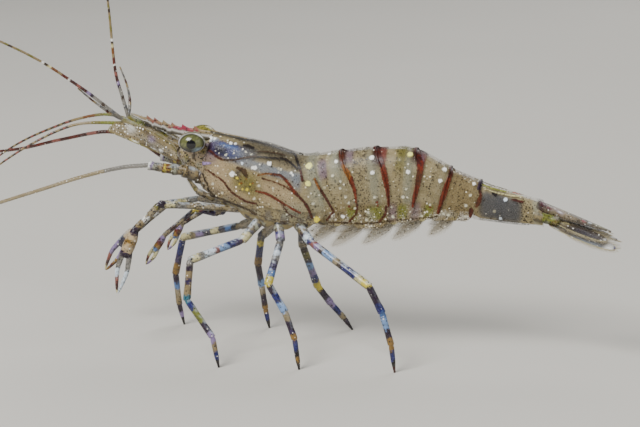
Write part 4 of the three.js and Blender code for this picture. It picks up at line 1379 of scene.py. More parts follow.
def curved_edge(text: str, count: int) -> Array:
    """An edge made of straight and curved stretches.

    Args:
        text: the start, then each stretch's end, or the point that bends it and its end.
        count: how many points to return.

    Returns:
        Points equally spaced along the edge.
    """
    start, *stretches = (table(entry) for entry in text.split(";"))
    points = [start[0]]
    for stretch in stretches:
        first, end = points[-1], stretch[-1]
        pull = (first + end) / 2 if len(stretch) == 1 else stretch[0]
        for t in np.linspace(0, 1, 25)[1:]:
            points.append((1 - t) ** 2 * first + 2 * t * (1 - t) * pull + t * t * end)
    return divided(np.array(points), count)


@dataclass(frozen=True)
class Leaf:
    """A thin leaf such as a fin or scale, between two edges that meet at its tip."""

    low_edge: str
    high_edge: str
    size: tuple[float, float]  # length and width, which the edges are given in shares of
    patches: str  # soft colours: place along and across, reach along and across, cover
    base_hue: Hue
    cover: float
    thickness: float = 0.26
    rib_at: float = 0.4
    rib_rise: float = 0.12
    camber: float = 0.12
    veins: int = 9
    rim: Hue = Hue.CREAM
    rim_covers: tuple[float, float] = (0.75, 0.75)  # along the low and the high edge
    freckle: float = 0.3
    chalk: float = 0.16
    step: float = 0.12  # mm between points

    def add_to(self, piece: Piece, root: Array, along: Array, spread: Array) -> tuple[Array, Array]:
        """Adds the leaf to a piece.

        Args:
            piece: the mesh.
            root: where it starts.
            along: its direction.
            spread: the side its high edge is on.

        Returns:
            The points of its low and its high edge.
        """
        length, width = self.size
        rows, columns = int(length / self.step), int(width / self.step) + 6
        share, v = np.linspace(0, 1, rows)[:, None], np.linspace(0, 1, columns)[None]
        low, high = (curved_edge(edge, rows)[:, None] for edge in (self.low_edge, self.high_edge))
        flat, along = mixed(low, high, v[..., None]) * self.size, unit(along)
        normal = unit(np.cross(along, spread))
        across = np.cross(normal, along)
        bow = self.camber * width * (1 - (2 * v - 1) ** 2) * (1 - share * 0.4)
        edge = (1 - (2 * v - 1) ** 8) * smooth(share, -0.02, 0.08) * (1 - 0.7 * smooth(share, 0.85, 1.0))
        rib = self.rib_rise * peak(v, self.rib_at, 0.07) * (1 - share)
        vein = 0.018 * np.cos((v + 0.04 * np.sin(share * 3)) * math.pi * 2 * self.veins)
        half = (self.thickness / 2 * (0.3 + 0.7 * edge) + (rib + vein) * edge)[..., None]
        middle = root + flat[..., :1] * along + flat[..., 1:] * across + bow[..., None] * normal
        outer, inner = middle + normal * half, middle - normal * half
        flat_share = flat[..., 0] / length
        stain = clouded(self.patches, flat_share, v + 0 * share, outer, self.base_hue, self.cover)
        ribs = 0.55 * np.clip(np.cos(v * math.pi * 2 * self.veins) * 3 - 2, 0, 1)
        ribs = np.maximum(ribs, 0.9 * peak(v, self.rib_at, 0.035) * (1 - share))[..., None]
        brim = np.where(v < 0.5, *self.rim_covers) * smooth(np.abs(2 * v - 1), 0.88, 0.96)
        brim = (brim * smooth(share, 0.02, 0.1))[..., None]
        stain[..., :3] = mixed(stain[..., :3] * (1 - 0.6 * ribs), self.rim.tone, brim)
        piece.shell(inner, outer, stain=stain, freckle=self.freckle, chalk=self.chalk)
        return middle[:, 0], middle[:, -1]


# ---- head
@dataclass
class Eye(Part):
    """A stalked eye: its globe with a pale ring and a dark false pupil that looks sideways."""

    centre: Place = (-19.4, 3.2, 32.5)
    reach: Place = (2.1, 1.75, 1.6)
    look: Place = (0.21, 0.98, -0.04)
    stalk_root: Place = (-18.9, 0.5, 31.1)
    stalk_radii: Place = (0.95, 0.85, 1.25)
    grid: tuple[int, int] = (90, 96)

    def build(self, side: Side) -> None:
        """Builds the globe and the stalk of one side.

        Args:
            side: which.
        """
        centre, look = side.at(self.centre), unit(side.at(self.look))
        upward = unit(np.array([0, 0, 1.0]) - look * look[2])
        forward = np.cross(upward, look) * -side.value
        turn = np.linspace(0.02, math.pi - 0.02, self.grid[0])[:, None, None]
        round_ = turns(self.grid[1])[..., None]
        way = np.cos(turn) * look + np.sin(turn) * (np.cos(round_) * upward + np.sin(round_) * forward)
        across = way * self.reach
        across = across - look * (across @ look)[..., None]
        pupil = (1 - smooth(np.linalg.norm(across, axis=-1), 0.66, 0.78)) * (way @ look > 0)
        globe, stalk = Piece(f"eye_globe_{side}"), Piece(f"eye_stalk_{side}")
        stain = self._iris(np.degrees(turn), way, way @ upward, way @ forward, pupil[..., None])
        globe.tube(centre + way * self.reach, stain=stain)
        self.make(globe, CORNEA, "eye", f"eye_{side}")
        line = evenly(np.array([side.at(self.stalk_root), centre - look * 0.6]), 0.08)
        share = np.linspace(0, 1, len(line))
        rings = rings_along(line, knots(share, "0 .4 1", self.stalk_radii), 40)
        stalk.limb(rings, share, bands("SAND 0 OLIVE 35 SAND 50 UMBER 70 CREAM 85"), 0.1, 0.06)
        self.make(stalk, LIMB, "eye")

    @staticmethod
    def _iris(turn: Array, way: Array, high: Array, front: Array, pupil: Array) -> Array:
        """Colours of the globe.

        Args:
            turn: the angle from where the eye looks, in degrees.
            way: the direction from its middle, for unevenness.
            high: how far up that points.
            front: how far ahead it points.
            pupil: 1 inside the pupil.

        Returns:
            Red, green, blue and cover.
        """
        high, front, speckle = high[..., None], front[..., None], ripple(way, 0.16, 41)[..., None]
        colour = mixed(linear("#5F6138"), linear("#2F2E27"), smooth(-high, 0.1, 0.6))
        colour = mixed(colour, linear("#8FA6B4"), 0.8 * smooth(-high, 0.2, 0.55) * smooth(front, -0.1, 0.5))
        colour = colour * (1 + 0.25 * speckle) * (1 - 0.6 * peak(turn, 60, 7))
        ring = peak(turn, 73, 6) * (0.35 + 0.65 * smooth(-high - front * 0.5, -0.7, 0.2))
        colour = mixed(colour, linear("#D9D3DE"), ring)
        colour = mixed(colour, Hue.OLIVE.tone * (1 + 0.5 * speckle), smooth(turn, 80, 90))
        colour = mixed(colour, linear("#08070A"), pupil)
        return np.concatenate([np.clip(colour, 0, 1), np.ones_like(pupil)], axis=-1)


@dataclass(frozen=True)
class Feeler:
    """A ringed feeler that tapers along a smooth curve."""

    root_radius: float
    tip_radius: float
    stops: Bands
    ring_mm: float = 0.55
    ring_depth: float = 0.09
    sides: int = 10

    def add_to(self, piece: Piece, points: Array) -> None:
        """Adds the feeler to a piece.

        Args:
            piece: the mesh.
            points: its course.
        """
        line = evenly(through(points, np.linspace(0, len(points) - 1, 60 * len(points))), 0.11)
        distance = travelled(line)
        share = distance / distance[-1]
        radius = mixed(self.root_radius, self.tip_radius, share**0.7)
        radius = radius * (1 - self.ring_depth * peak((distance / self.ring_mm) % 1, 0.5, 0.16))
        rings = rings_along(line, radius * (1 - 0.8 * smooth(share, 0.985, 1.0)), self.sides)
        piece.limb(rings, share, self.stops, 0.25 / distance[-1], 0.12 / distance[-1])


@dataclass
class Head(Part):
    """Eyes, stems, feelers, scales and mouth legs."""

    antennule_joints: str = "-22.2 1.15 31, -26.4 1.15 33, -28.8 1.2 34.1, -31 1.2 35.1"
    antenna_joints: str = "-20.2 2.7 27.9, -22.6 3 28.1, -24.2 3.2 28.3, -26.3 3.6 28.7"
    antenna_root: str = "-17.2 1.1 26.2, -19 1.9 27.1, -20.9 2.8 27.95"
    mouth_joints: str = "-16.5 1.2 23.2, -19 2 24.6, -20.4 2.1 26.6"
    scale_root: Place = (-21.9, 3.3, 29.55)
    scale_tip: Place = (-32.6, 4.6, 34.0)
    scale_spread: Place = (0, -0.5, 0.87)
    scale_width: float = 2.8
    scale_patches: str = """
GREY .3 .45 .3 .3 .7; OLIVE .53 .05 .22 .12 .9; LEMON .62 .16 .06 .1 1; PEARL .6 .16 .045 .07 1;
PEARL .74 .6 .09 .2 .75; LILAC .41 .72 .06 .14 .6; PEARL .24 .5 .03 .1 .95; PEARL .34 .32 .05 .06 .8;
INK .47 .3 .03 .05 .8; INK .38 .45 .02 .05 .8; UMBER .2 .3 .06 .05 .8; UMBER .55 .85 .1 .08 .7"""
    antennae: str = """
-26.3 3.6 28.7, -30.6 4.6 28.3, -36.3 6.8 27, -43.3 10 24.9, -56 18 21.4, -70 29 18.8, -83 42 17.6, -93 55
18 |
-26.3 3.6 28.7, -30.6 3.8 31.2, -35.6 4.2 32.2, -43.8 5.2 30.4, -53 8.5 27.8, -67 15.5 25.2, -82 26 24.2,
-95 38 25.2"""
    outer_feelers: str = """
-31 1.4 35.3, -33.4 2 37.3, -37.2 3 40.4, -44 6 45.5, -55 12.5 52 |
-31 1.4 35.3, -32.2 2.2 38.4, -33.6 3.2 42.6, -35 5 52, -36.6 6.8 60"""
    short_feelers: str = """
-31 1.4 35.3, -33 1.6 36.3, -35.6 2 38.2, -37.8 2.6 40.2 |
-31 1.4 35.3, -31 2.4 37.4, -31.7 3.2 40, -33 3.8 42.8"""
    inner_feelers: str = """
-31 1.1 34.7, -36.8 2.5 34.7, -40.7 3 33.6, -45.4 4 31.2, -50 5 28.2, -54.5 6.5 24.6 |
-31 1.1 34.9, -34.6 1.5 35.5, -39.2 2 34.6, -43.8 3 32.9, -49.3 4 30.4, -54.1 5 27.5, -58.5 6.5 24"""
    antenna_stops: str = """
SAND 0 UMBER 10 TAWNY 14 INK 24 HAZE 27 UMBER 34 OLIVE 38 AMBER 45 LEMON 53 RUST 60 SAND 64 UMBER 75
HAZE 79 LILAC 88 PEARL 93"""
    outer_stops: str = """
SMOKE 0 DUSK 5 SMOKE 7 UMBER 11 SMOKE 13 PLUM 18 LILAC 20 MAROON 22 ROSE 26 MAROON 28 PEARL 32 RUST 33
TAWNY 37 AMBER 39 CREAM 43 UMBER 45 PEARL 47 TAWNY 48.5 OLIVE 53 TAWNY 56"""

    def build(self) -> None:
        """Builds the head's parts on both sides."""
        for side in Side:
            Eye(self.shift).build(side)
            self._stems(side)
            self._mouth(side)
            self._scale(side)
            self._feelers(side)

    def _stems(self, side: Side) -> None:
        """Makes the jointed stems under the feelers.

        Args:
            side: which.
        """
        antennule, antenna = Piece(f"antennule_base_{side}"), Piece(f"antenna_base_{side}")
        stem = partial(LimbPlan, sides=24)
        stops = "SAND 0 OLIVE 30 SAND 42 UMBER 62 LEAF 70 OLIVE 85"
        plan = stem(self.antennule_joints, ".72 .74 .66 .6", stops, freckle=0.4, paleness=0.2)
        plan.add_to(antennule, side)
        self.make(antennule, LIMB, "shell", f"antennule_stem_{side}")
        plan = stem(self.antenna_joints, ".9 .84 .76 .7", self.antenna_stops, freckle=0.6, paleness=0.35)
        plan.add_to(antenna, side)
        stops = "FAWN 0 UMBER 35 TAWNY 50 UMBER 80 TAWNY 88"
        stem(self.antenna_root, "1.3 1.15 1", stops, ragged_mm=0.5).add_to(antenna, side)
        self.make(antenna, LIMB, "shell", f"antenna_stem_{side}")

    def _mouth(self, side: Side) -> None:
        """Makes a mouth leg with its brush.

        Args:
            side: which.
        """
        mouth, brush = Piece(f"mouth_limb_{side}"), Bristles(f"mouth_brush_{side}", radius=0.022)
        stops = "SAND 0 UMBER 30 SAND 36 OLIVE 62 SAND 70"
        line = LimbPlan(self.mouth_joints, ".55 .48 .2", stops, sides=18).add_to(mouth, side)
        self.make(mouth, LIMB, "leg", f"mouth_leg_{side}")
        for turn in range(3):
            away = np.array([-0.7, side.value * (turn - 1) * 0.6, 0.1 - 0.2 * turn])
            brush.fringe(line[18:], away, line[-1] - line[-8], 0.9, 0.09, 50 + turn)
        self.make(brush, BRISTLE, "fin")

    def _scale(self, side: Side) -> None:
        """Makes the broad antennal scale, with a spine at its outer corner and a fringe inside.

        Args:
            side: which.
        """
        scale, hairs = Piece(f"antenna_scale_{side}"), Bristles(f"scale_fringe_{side}", radius=0.024)
        root, tip, spread = map(side.at, (self.scale_root, self.scale_tip, self.scale_spread))
        size = (float(np.linalg.norm(tip - root)), self.scale_width)
        leaf = Leaf(
            "0 0; .93 0; .985 .036; 1.01 .55, .86 .84", "0 0; 0 .5, .12 .72; .5 1.16, .86 .84", size,
            self.scale_patches, Hue.SAND, 0.8, rib_at=0.2, rim=Hue.OLIVE, veins=4, freckle=0.75, chalk=0.45,
        )
        high = leaf.add_to(scale, root, tip - root, spread)[1]
        self.make(scale, FIN, "fin", f"antennal_scale_{side}")
        hairs.fringe(high[len(high) // 4 :], spread, tip - root, 1.0, 0.09, 60)
        self.make(hairs, BRISTLE, "fin")

    def _feelers(self, side: Side) -> None:
        """Makes all the feelers of one side.

        Args:
            side: which.
        """
        far = side is Side.RIGHT
        antenna, outer, inner = (
            Piece(f"{name}_{side}") for name in ("antenna_feeler", "outer_feelers", "inner_feeler")
        )
        stops = ladder(0, 1, 48, "MAROON RUST MAROON ROSE") if far else bands("SMOKE 0 SAND 8")
        Feeler(0.36, 0.14, stops).add_to(antenna, side.at(*side.of(self.antennae)))
        self.make(antenna, LIMB, "feeler", f"antenna_root_{side}", f"antenna_tip_{side}")
        stops = bands(self.outer_stops) + ladder(0.6, 1, 18, "OLIVE TAWNY UMBER")
        Feeler(0.33, 0.14, stops).add_to(outer, side.at(*side.of(self.outer_feelers)))
        stops = ladder(0, 1, 14, "SMOKE DUSK SMOKE TAWNY MAROON")
        Feeler(0.32, 0.12, stops).add_to(outer, side.at(*side.of(self.short_feelers)))
        self.make(outer, LIMB, "feeler", f"antennule_outer_{side}")
        stops = bands(f"OLIVE 0 LEAF 5 OLIVE 13 {'AMBER' if far else 'SAND'} 18 TAWNY 25")
        stops += ladder(0.3, 1, 36, "TAWNY UMBER ROSE UMBER")
        Feeler(0.3, 0.13, stops).add_to(inner, side.at(*side.of(self.inner_feelers)))
        self.make(inner, LIMB, "feeler", f"antennule_inner_{side}")


# ---- legs
@dataclass(frozen=True)
class ClawedLeg:
    """A leg that ends in a claw: its piece, the frame's nodes without the side, its form, its pigment."""

    name: str
    nodes: tuple[str, ...]
    palm: float  # radius
    finger: float  # radius
    spread: float  # how the fingers part
    radii: str  # the arm's
    joints: str  # the arm's, the last at the wrist
    palms: str  # the wrist, the palm's end and the claw's tip
    stops: str
    low_stops: str = " ROSE 90 MAROON 93 CREAM 96"  # more of them, on the lower finger

    def add_to(self, piece: Piece, side: Side) -> None:
        """Adds the arm, the palm and two fingers.

        Args:
            piece: the mesh.
            side: which.
        """
        wrist, palm_end, tip = side.at(*side.of(self.palms))
        (arm,), (stops,) = side.of(self.joints), side.of(self.stops)
        reach = travelled(side.at(arm))[-1]
        palm_length, finger_length = np.linalg.norm(palm_end - wrist), np.linalg.norm(tip - palm_end)
        total = reach + palm_length + finger_length
        LimbPlan(arm, self.radii, stops, freckle=0.9).add_to(piece, side, total)
        along = unit(palm_end - wrist)
        apart = unit(np.cross([0, 1.0, 0], along))
        line = evenly(np.array([wrist - along * 0.15, palm_end + along * 0.5]), 0.1)
        share = np.linspace(0, 1, len(line))
        radius = self.palm * knots(share, "0 .08 .3 .6 .85 1", ".5 .66 .95 1.02 .92 .45")
        self._dress(piece, rings_along(line, radius, 24, 0.7), reach + share * palm_length, total, stops)
        for out, more in ((-apart, ""), (apart, self.low_stops)):
            root = palm_end - along * 0.15 * palm_length + out * self.spread * 0.75
            bow = (palm_end + tip) / 2 + out * self.spread * 1.2
            end = tip + out * self.spread * 0.25
            hook = end - out * self.finger * 0.7 + unit(tip - palm_end) * self.finger * 0.35
            bent = np.array([root, (root + bow) / 2 + out * self.finger * 0.2, bow, end, hook])
            line = evenly(through(bent, np.linspace(0, 4, 80)), 0.09)
            share = np.linspace(0, 1, len(line))
            radius = self.finger * knots(share, "0 .1 .5 .85 1", "1.1 1.1 .85 .55 .12")
            distance = reach + palm_length * 0.9 + share * finger_length
            self._dress(piece, rings_along(line, radius, 16, 0.85), distance, total, stops + more)

    @staticmethod
    def _dress(piece: Piece, rings: Array, distance: Array, total: float, stops: str) -> None:
        """Adds a stretch of the claw with pigment, painted highlight and shade, by each ring's distance along
        the leg.
        """
        piece.limb(rings, distance / total, bands(stops), 0.3 / total, 0.2 / total, 0.6, freckle=0.3)


SLENDER_STOPS = """
SAND 0 VIOLET 13 ROSE 27 LEMON 29 PLUM 36 SAND 47 MAROON 55 SAND 63 LILAC 70 RUST 74 HONEY 77 STEEL 81
CREAM 84 LILAC 93"""
BIG_STOPS = """
SAND 0 SMOKE 30 CREAM 36 PLUM 42 OLIVE 46 SAND 48 PEARL 54 TAWNY 58 PLUM 62 FAWN 67 HONEY 70 FAWN 72"""


@dataclass
class Legs(Part):
    """Six walking legs, two slender claws and two larger ones."""

    root_stops: str = "SAND 0 SLATE 2 HAZE 3.2 UMBER 4.5 SAND 5.5 "
    walking_radii: str = ".95 .66 .6 .56 .46 .34"
    walking_joints: str = """
-9.2 1.7 20.3, -11.3 4 17.7, -18 10 15.6, -18.2 11.4 9.8, -13.8 13 4.6, -12.8 13.3 0 |
-6.2 1.7 20.2, -5.4 3.6 17.8, -6.2 8.5 12.2, -3.3 10 8.4, -1.5 11.3 4.6, -.7 11.8 0 |
-3.2 1.7 20.2, -.6 4.2 18, 9.4 9 12.8, 11.5 9.6 9, 13 10 4.2, 13.6 10.2 0 |
-9.2 1.7 20.3, -13.2 2.9 18.3, -23.8 6 15.1, -25.4 6.8 8.8, -25 7.3 3.4, -24.3 7.6 0 |
-6.2 1.7 20.2, -10.2 3.4 16.6, -11.5 6.3 11.2, -11.2 7.5 7.4, -10.8 8.2 3.4, -10.2 8.5 0 |
-3.2 1.7 20.2, -3.6 3.9 15.2, -2 7.5 7.8, -.1 8.8 4.7, 1.9 9.9 2, 3.2 10.3 0"""
    walking_stops: str = """
SLATE 7 CREAM 9 RUST 14 VIOLET 15 COBALT 18 SKY 22 ROSE 27 ICE 29 SMOKE 35 CREAM 38 SMOKE 42 PLUM 45 TAWNY
48 VIOLET 52 TAWNY 54 TEAL 60 COBALT 64 LEAF 68 PLUM 76 LILAC 82 TAWNY 88 COBALT 92 INK 96 |
COBALT 7 LILAC 9 SLATE 12 SMOKE 14 SLATE 17 ICE 20 SMOKE 24 SLATE 27 VIOLET 30 STEEL 34 LEMON 38.5 PLUM 45
COBALT 50 SKY 57 SAND 64 PLUM 69 VIOLET 76 HONEY 78 COBALT 82 INK 88 HONEY 92 INK 95 |
PLUM 8 ICE 10 COBALT 13 ROSE 15 LILAC 18 UMBER 21 SKY 24 SAND 31 UMBER 34 COBALT 36.5 CREAM 46 LEMON 51
PLUM 55 COBALT 64 STEEL 69 SKY 72 PLUM 77.5 HONEY 82 COBALT 88.5 INK 94 MAROON 97 |
INK 17 STEEL 20 SLATE 24 CREAM 28 SLATE 33 LILAC 38 SAND 42 CREAM 45 COBALT 52.5 VIOLET 60 HONEY 65.5 PLUM
71.5 STEEL 76.5 SAND 80 TAWNY 84 PLUM 88 LILAC 93 INK 96 |
SLATE 20 LEMON 27 COBALT 32 HONEY 42 PLUM 51 SKY 62 SAND 68 PLUM 74 HONEY 82 COBALT 88 INK 94 |
SLATE 12 SAND 18 UMBER 22 OLIVE 28 PLUM 33 SKY 37 LILAC 42 COBALT 48 LEMON 54 PLUM 61.5 LILAC 70 COBALT 78
SAND 85 PLUM 90 INK 95"""
    clawed: tuple[ClawedLeg, ...] = (
        ClawedLeg(
            "slender_leg", ("leg_1",), 0.58, 0.3, 0.34, ".6 .46 .42 .38",
            """
-14.6 1.2 22.8, -16 2.4 21.2, -19 3.3 22, -23.6 4.5 18 |
-14.6 1.2 22.8, -16.2 2.1 20.4, -19.4 2.6 20.4, -23 3 18.1""",
            """
-23.6 4.5 18, -25.2 4.6 15.5, -26.6 4.69 13.3 |
-23 3 18.1, -24.2 3.1 16, -25.5 3.2 13.75""",
            f"{SLENDER_STOPS}|{SLENDER_STOPS}",
        ),
        ClawedLeg(
            "second_leg", ("leg_2_arm", "leg_2_claw"), 0.98, 0.42, 0.62, ".6 .54 .6 .56",
            """
-12 1.5 21.9, -18.6 4.6 22.8, -23.8 6.2 23.2, -27.5 7.2 19.2 |
-12 1.5 21.9, -20.5 4.4 22, -26.2 5.2 20.6, -31.4 5.4 16.2""",
            """
-27.5 7.2 19.2, -29 7.7 15.4, -30.3 8 9.5 |
-31.4 5.4 16.2, -34 5.7 13.6, -36.9 6 9.2""",
            f"{BIG_STOPS} PLUM 76 SMOKE 80 ICE 86 |{BIG_STOPS} SLATE 77 LILAC 83 HONEY 90 RUST 93 HONEY 96",
        ),
    )

    def build(self) -> None:
        """Builds all ten legs."""
        for side in Side:
            walking = zip(side.of(self.walking_joints), side.of(self.walking_stops))
            for number, (joints, stops) in enumerate(walking, 3):
                leg, stops = Piece(f"walking_leg_{number}_{side}"), self.root_stops + stops
                LimbPlan(joints, self.walking_radii, stops, tip=0.45, tip_from=0.93).add_to(leg, side)
                self.make(leg, LIMB, "leg", f"leg_{number}_thigh_{side}", f"leg_{number}_shin_{side}")
            for clawed in self.clawed:
                leg = Piece(f"{clawed.name}_{side}")
                clawed.add_to(leg, side)
                self.make(leg, LIMB, "leg", *(f"{name}_{side}" for name in clawed.nodes))


# ---- swimmerets and tail
@dataclass
class Swimmerets(Part):
    """Five pairs of soft paddles under the tail, swept forwards, each with two leaves and their fringe."""

    reach: tuple[float, ...] = (0.86, 0.95, 0.92, 0.86, 0.72)
    sweep: Place = (-0.89, 0.0, -0.46)
    high: Place = (-0.46, 0.0, 0.89)
    length: float = 6.6
    width: float = 1.5
    leaves: tuple[tuple[float, float], ...] = ((-0.16, 1.0), (0.2, 0.86))  # tilt and size

    def build(self) -> None:
        """Builds all ten."""
        for side in Side:
            for number, reach in enumerate(self.reach, 1):
                self._one(side, number, reach)

    def _one(self, side: Side, number: int, reach: float) -> None:
        """Makes a swimmeret.

        Args:
            side: which.
            number: the segment's.
            reach: its size, as a share.
        """
        paddle = Piece(f"paddle_{number}_{side}")
        hairs = Bristles(f"paddle_fringe_{number}_{side}", radius=0.02)
        sweep, high = np.array(self.sweep), np.array(self.high)
        station = through(STATIONS, np.array([number + 3.5]))[0]
        out = side.value * (station[4] * 0.84 - 0.6) * 0.8
        foot = np.array([station[2], out, station[3] - 0.25])
        line = evenly(np.array([between(station, 0.78, out * 0.9), foot, foot + sweep * 0.8 * reach]), 0.1)
        share = np.linspace(0, 1, len(line))
        rings = rings_along(line, knots(share, "0 .5 .85 1", ".3 .42 .4 .12"), 14)
        paddle.limb(rings, share, bands("SAND 0 UMBER 35 SAND 45 CREAM 70"), 0.1, 0.05)
        for turn, (tilt, size) in enumerate(self.leaves):
            leaf = Leaf(
                "0 .3; .2 -.12, .55 0; .9 .1, 1 .5", "0 .55; .2 1.05, .5 1; .9 .92, 1 .5",
                (self.length * reach * size, self.width * reach * size),
                "HAZE .5 .5 .8 .14 .4; UMBER .2 .5 .08 .3 .6", Hue.SAND, 0.22, thickness=0.14, rib_at=0.5,
                rib_rise=0.05, veins=5, rim=Hue.TAWNY, rim_covers=(0.85, 0.85), chalk=0.3,
            )
            way = unit(unit(sweep) + high * tilt + (0, side.value * 0.12 * turn, 0))
            root = foot - high * self.width * reach * 0.45 + (0, side.value * (0.16 - 0.3 * turn), 0)
            seed = 70 + number * 4 + turn
            for edge, away in zip(leaf.add_to(paddle, root, way, high), (-high, high)):
                hairs.fringe(edge[len(edge) // 5 :], away, way, 0.7, 0.11, seed)
                seed += 2
        self.make(paddle, PADDLE, "fin", f"swimmeret_{number}_{side}")
        self.make(hairs, BRISTLE, "fin")


@dataclass
class Tail(Part):
    """The telson and the two pairs of paddles folded beside it."""

    telson_root: Place = (33.2, 0.0, 24.3)
    telson_tip: Place = (44.4, 0.0, 20.85)
    telson_patches: str = """
FAWN .34 .5 .22 .6 .55; WINE .07 .3 .05 .6 1; PLUM .1 .6 .03 .2 .7; WINE .16 .75 .04 .2 .9;
MAUVE .23 .4 .07 .4 .5; LILAC .31 .75 .05 .18 .8; PEARL .31 .75 .03 .1 .9; INK .5 .45 .2 .12 .85;
BERRY .63 .7 .03 .2 .9; ICE .71 .5 .03 .3 .8; LEAF .85 .4 .13 .3 .7; CREAM .5 .08 .35 .05 .5"""
    spines: str = ".55 .75, .78 .75, .97 .5, .99 .25, .99 -.25"  # shares of length and half width
    way: Place = (0.96, 0.03, -0.28)
    spread: Place = (0, 0.95, -0.31)
    stem_joints: str = "33 .85 23, 36.8 1.3 22.2"
    stem_stops: str = "SAND 0 UMBER 25 LEAF 34 UMBER 50 LEAF 56 RUST 78 SAND 84 OLIVE 92"
    leaves: tuple[tuple, ...] = (
        # A paddle's root, its size, its dark dots, its fringe's seed and its soft colours.
        (
            (35.4, 0.8, 22.2), (10.4, 2.7), 0.3, 90,
            "SAND .2 .5 .2 .6 .6; MIST .62 .75 .25 .3 .9; SLATE .5 .6 .12 .1 .7;"
            "PEARL .92 .65 .09 .6 1; ICE .12 .9 .05 .2 .8; ORANGE .03 .9 .03 .2 .9; COBALT 1 .5 .03 .8 .9",
        ),
        (
            (35.4, 0.4, 22.75), (9.0, 2.1), 1.0, 94,
            "SAND .15 .5 .2 .6 .8; CREAM .22 .35 .05 .14 .9; CREAM .3 .2 .04 .1 .8;"
            "SLATE .62 .55 .3 .42 .85; PEARL .97 .5 .04 .4 .7",
        ),
    )

    def build(self) -> None:
        """Builds the whole fan."""
        self._telson()
        for side in Side:
            self._paddles(side)

    def _telson(self) -> None:
        """Makes the tapered middle plate, with its pairs of small spines."""
        telson, spines = Piece("telson_plate"), Bristles("telson_spines", radius=0.05)
        root, tip = np.array(self.telson_root), np.array(self.telson_tip)
        line = evenly(np.array([root, tip]), 0.11)
        share = np.linspace(0, 1, len(line))
        half = knots(share, "0 .1 .3 .65 .93 1", "1.1 1.25 1.2 .85 .48 .12")
        flat = 1 - knots(share, "0 .3 .65 1", ".85 .7 .42 .12") / half
        rings, normal = rings_along(line, half, 48), unit(np.cross(tip - root, [0, 1.0, 0]))
        rings = rings - normal * ((rings - line[:, None]) @ normal * flat[:, None])[..., None]
        level = np.broadcast_to(share[:, None], rings.shape[:2])
        across = np.abs(rings[..., 1] / half[:, None])
        stain = clouded(self.telson_patches, level, across, rings, Hue.BARK, 0.85)
        telson.tube(rings, stain=stain, freckle=0.5, chalk=0.2)
        self.make(telson, FIN, "fin", "telson")
        for at, out in table(self.spines):
            for side in Side:
                reach = side.value * np.interp(at, share, half) * out
                spine = mixed(root, tip, at) + (0, reach, 0) - normal * 0.2
                place = np.array([[at, 0.5 + side.value * 0.2]])
                spines.add(spine[None], unit(tip - root)[None] * 0.7, np.zeros(3), place)
        self.make(spines, BRISTLE, "fin")

    def _paddles(self, side: Side) -> None:
        """Makes one side's stem, outer and inner paddle, with a fringe round their ends.

        Args:
            side: which.
        """
        fan, hairs = Piece(f"fan_{side}"), Bristles(f"fan_fringe_{side}")
        plan = partial(LimbPlan, self.stem_joints, ".95 .72", self.stem_stops, sides=24, tip=0.5)
        plan(ragged_mm=0.45, paleness=0.2).add_to(fan, side)
        way, spread = unit(side.at(self.way)), side.at(self.spread)
        for root, size, freckle, seed, patches in self.leaves:
            leaf = Leaf(
                "0 0; .3 -.12, .8 .02; 1.02 .2, 1 .6", "0 .42; .25 .95, .66 1; .94 1.02, 1 .6", size,
                patches, Hue.BARK, 0.85, rib_rise=0.1, rim_covers=(0.0, 0.85), freckle=freckle,
            )
            low, high = leaf.add_to(fan, side.at(root), way, spread)
            hairs.fringe(high[len(high) // 3 :], spread, way, 1.15, 0.085, seed)
            hairs.fringe(low[len(low) // 2 :], -spread, way, 1.15, 0.085, seed + 1)
        self.make(fan, FIN, "fin", f"tail_fan_{side}")
        self.make(hairs, BRISTLE, "fin")


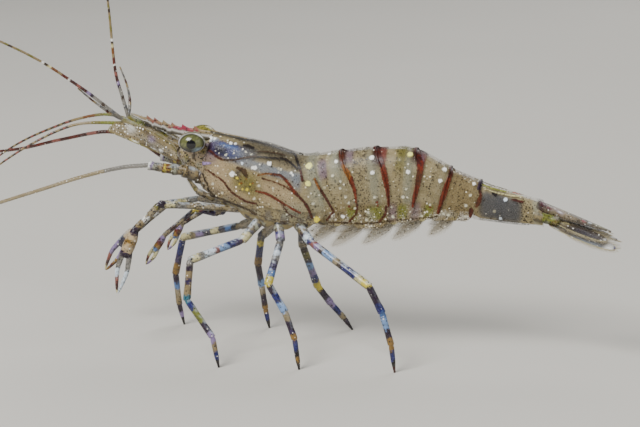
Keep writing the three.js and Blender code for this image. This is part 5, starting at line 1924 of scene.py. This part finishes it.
# ---- studio
@dataclass
class Studio(Part):
    """A plain pale floor, soft light and the camera."""

    target: Place = (0.0, 0.0, 21.5)  # mm, where the camera looks
    distance: float = 274.0
    azimuth: float = 12.0
    elevation: float = 13.0
    lens: float = 100.0
    floor_size: float = 8.0  # m
    lamps: tuple[tuple[str, Place, float, float], ...] = (  # name, way to it, size in metres and power
        ("key", (-0.45, -0.75, 0.95), 0.36, 7.4),
        ("fill", (0.9, -0.6, 0.4), 0.6, 1.2),
        ("rim", (0.3, 0.9, 0.8), 0.5, 2.4),
    )
    lamp_distance: float = 0.75  # m

    def build(self) -> None:
        """Sets up the stage, with a pale surround."""
        self._floor()
        for name, way, size, power in self.lamps:
            light = bpy.data.lights.new(name, "AREA")
            light.size, light.energy = size, power
            self._place(name, light, Vector(way).normalized() * self.lamp_distance, -Vector(way))
        world = bpy.data.worlds.new("surround")
        world.use_nodes = True
        shader = world.node_tree.nodes["Background"]
        shader.inputs["Color"].default_value = rgba("#C8CCD2")
        shader.inputs["Strength"].default_value = 0.36
        bpy.context.scene.world = world
        self._camera()

    def _place(self, name: str, data: bpy.types.ID | None, offset: Vector, way: Vector) -> bpy.types.Object:
        """Puts a lamp or the camera in its place.

        Args:
            name: the object's.
            data: what it holds.
            offset: from where the camera looks, in metres.
            way: where it points.

        Returns:
            The object.
        """
        made = bpy.data.objects.new(name, data)
        made.location = Vector(self.metres(self.target)) + offset
        made.rotation_euler = way.to_track_quat("-Z", "Y").to_euler()
        bpy.context.scene.collection.objects.link(made)
        return made

    def _floor(self) -> None:
        """Makes the floor, a painted board with a faint unevenness."""
        half = self.floor_size / 2
        mesh = bpy.data.meshes.new("studio_floor")
        corners = [(-half, -half, 0), (half, -half, 0), (half, half, 0), (-half, half, 0)]
        mesh.from_pydata(corners, [], [(0, 1, 2, 3)])
        board = bpy.data.materials.new("board_painted")
        board.use_nodes = True
        board.node_tree.nodes.clear()
        add = partial(node, board.node_tree)
        cloud = add("TexNoise", {"Vector": add("TexCoord")["Object"], "Scale": 6.0, "Detail": 2.0})[0]
        tone = add("ValToRGB", {"Fac": cloud})["Color"]
        for stop, hue in zip(tone.node.color_ramp.elements, ("#C9C5BB", "#D2CEC5")):
            stop.color = rgba(hue)
        shader = add("BsdfPrincipled", {"Base Color": tone, "Roughness": 0.8})[0]
        add("OutputMaterial", {"Surface": shader})
        mesh.materials.append(board)
        floor = bpy.data.objects.new("studio_floor", mesh)
        bpy.context.scene.collection.objects.link(floor)

    def _camera(self) -> None:
        """Makes the camera, a little behind square on and a little above."""
        a, e = math.radians(self.azimuth), math.radians(self.elevation)
        back = Vector((math.sin(a) * math.cos(e), -math.cos(a) * math.cos(e), math.sin(e)))
        lens = bpy.data.cameras.new("camera")
        lens.lens, lens.sensor_width = self.lens, 36.0
        lens.clip_start, lens.clip_end = 0.01, 50.0
        bpy.context.scene.camera = self._place("camera", lens, back * self.distance / 1000, -back)


def main() -> None:
    """Builds the prawn round its frame."""
    logging.basicConfig(level=logging.INFO, format="%(message)s")
    mounts = {mount["name"]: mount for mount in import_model()["record"]["mounts"]}
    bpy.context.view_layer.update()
    foot = Side.LEFT.at(Side.LEFT.of(Legs.walking_joints)[-1])[-1]
    shift = np.array(mounts["foot_5_left"]["pos_m"]) * 1000 - foot
    for part in (Studio, Muscle, Armour, Rostrum, Head, Legs, Swimmerets, Tail):
        part(shift).build()


if __name__ == "__main__":
    main()
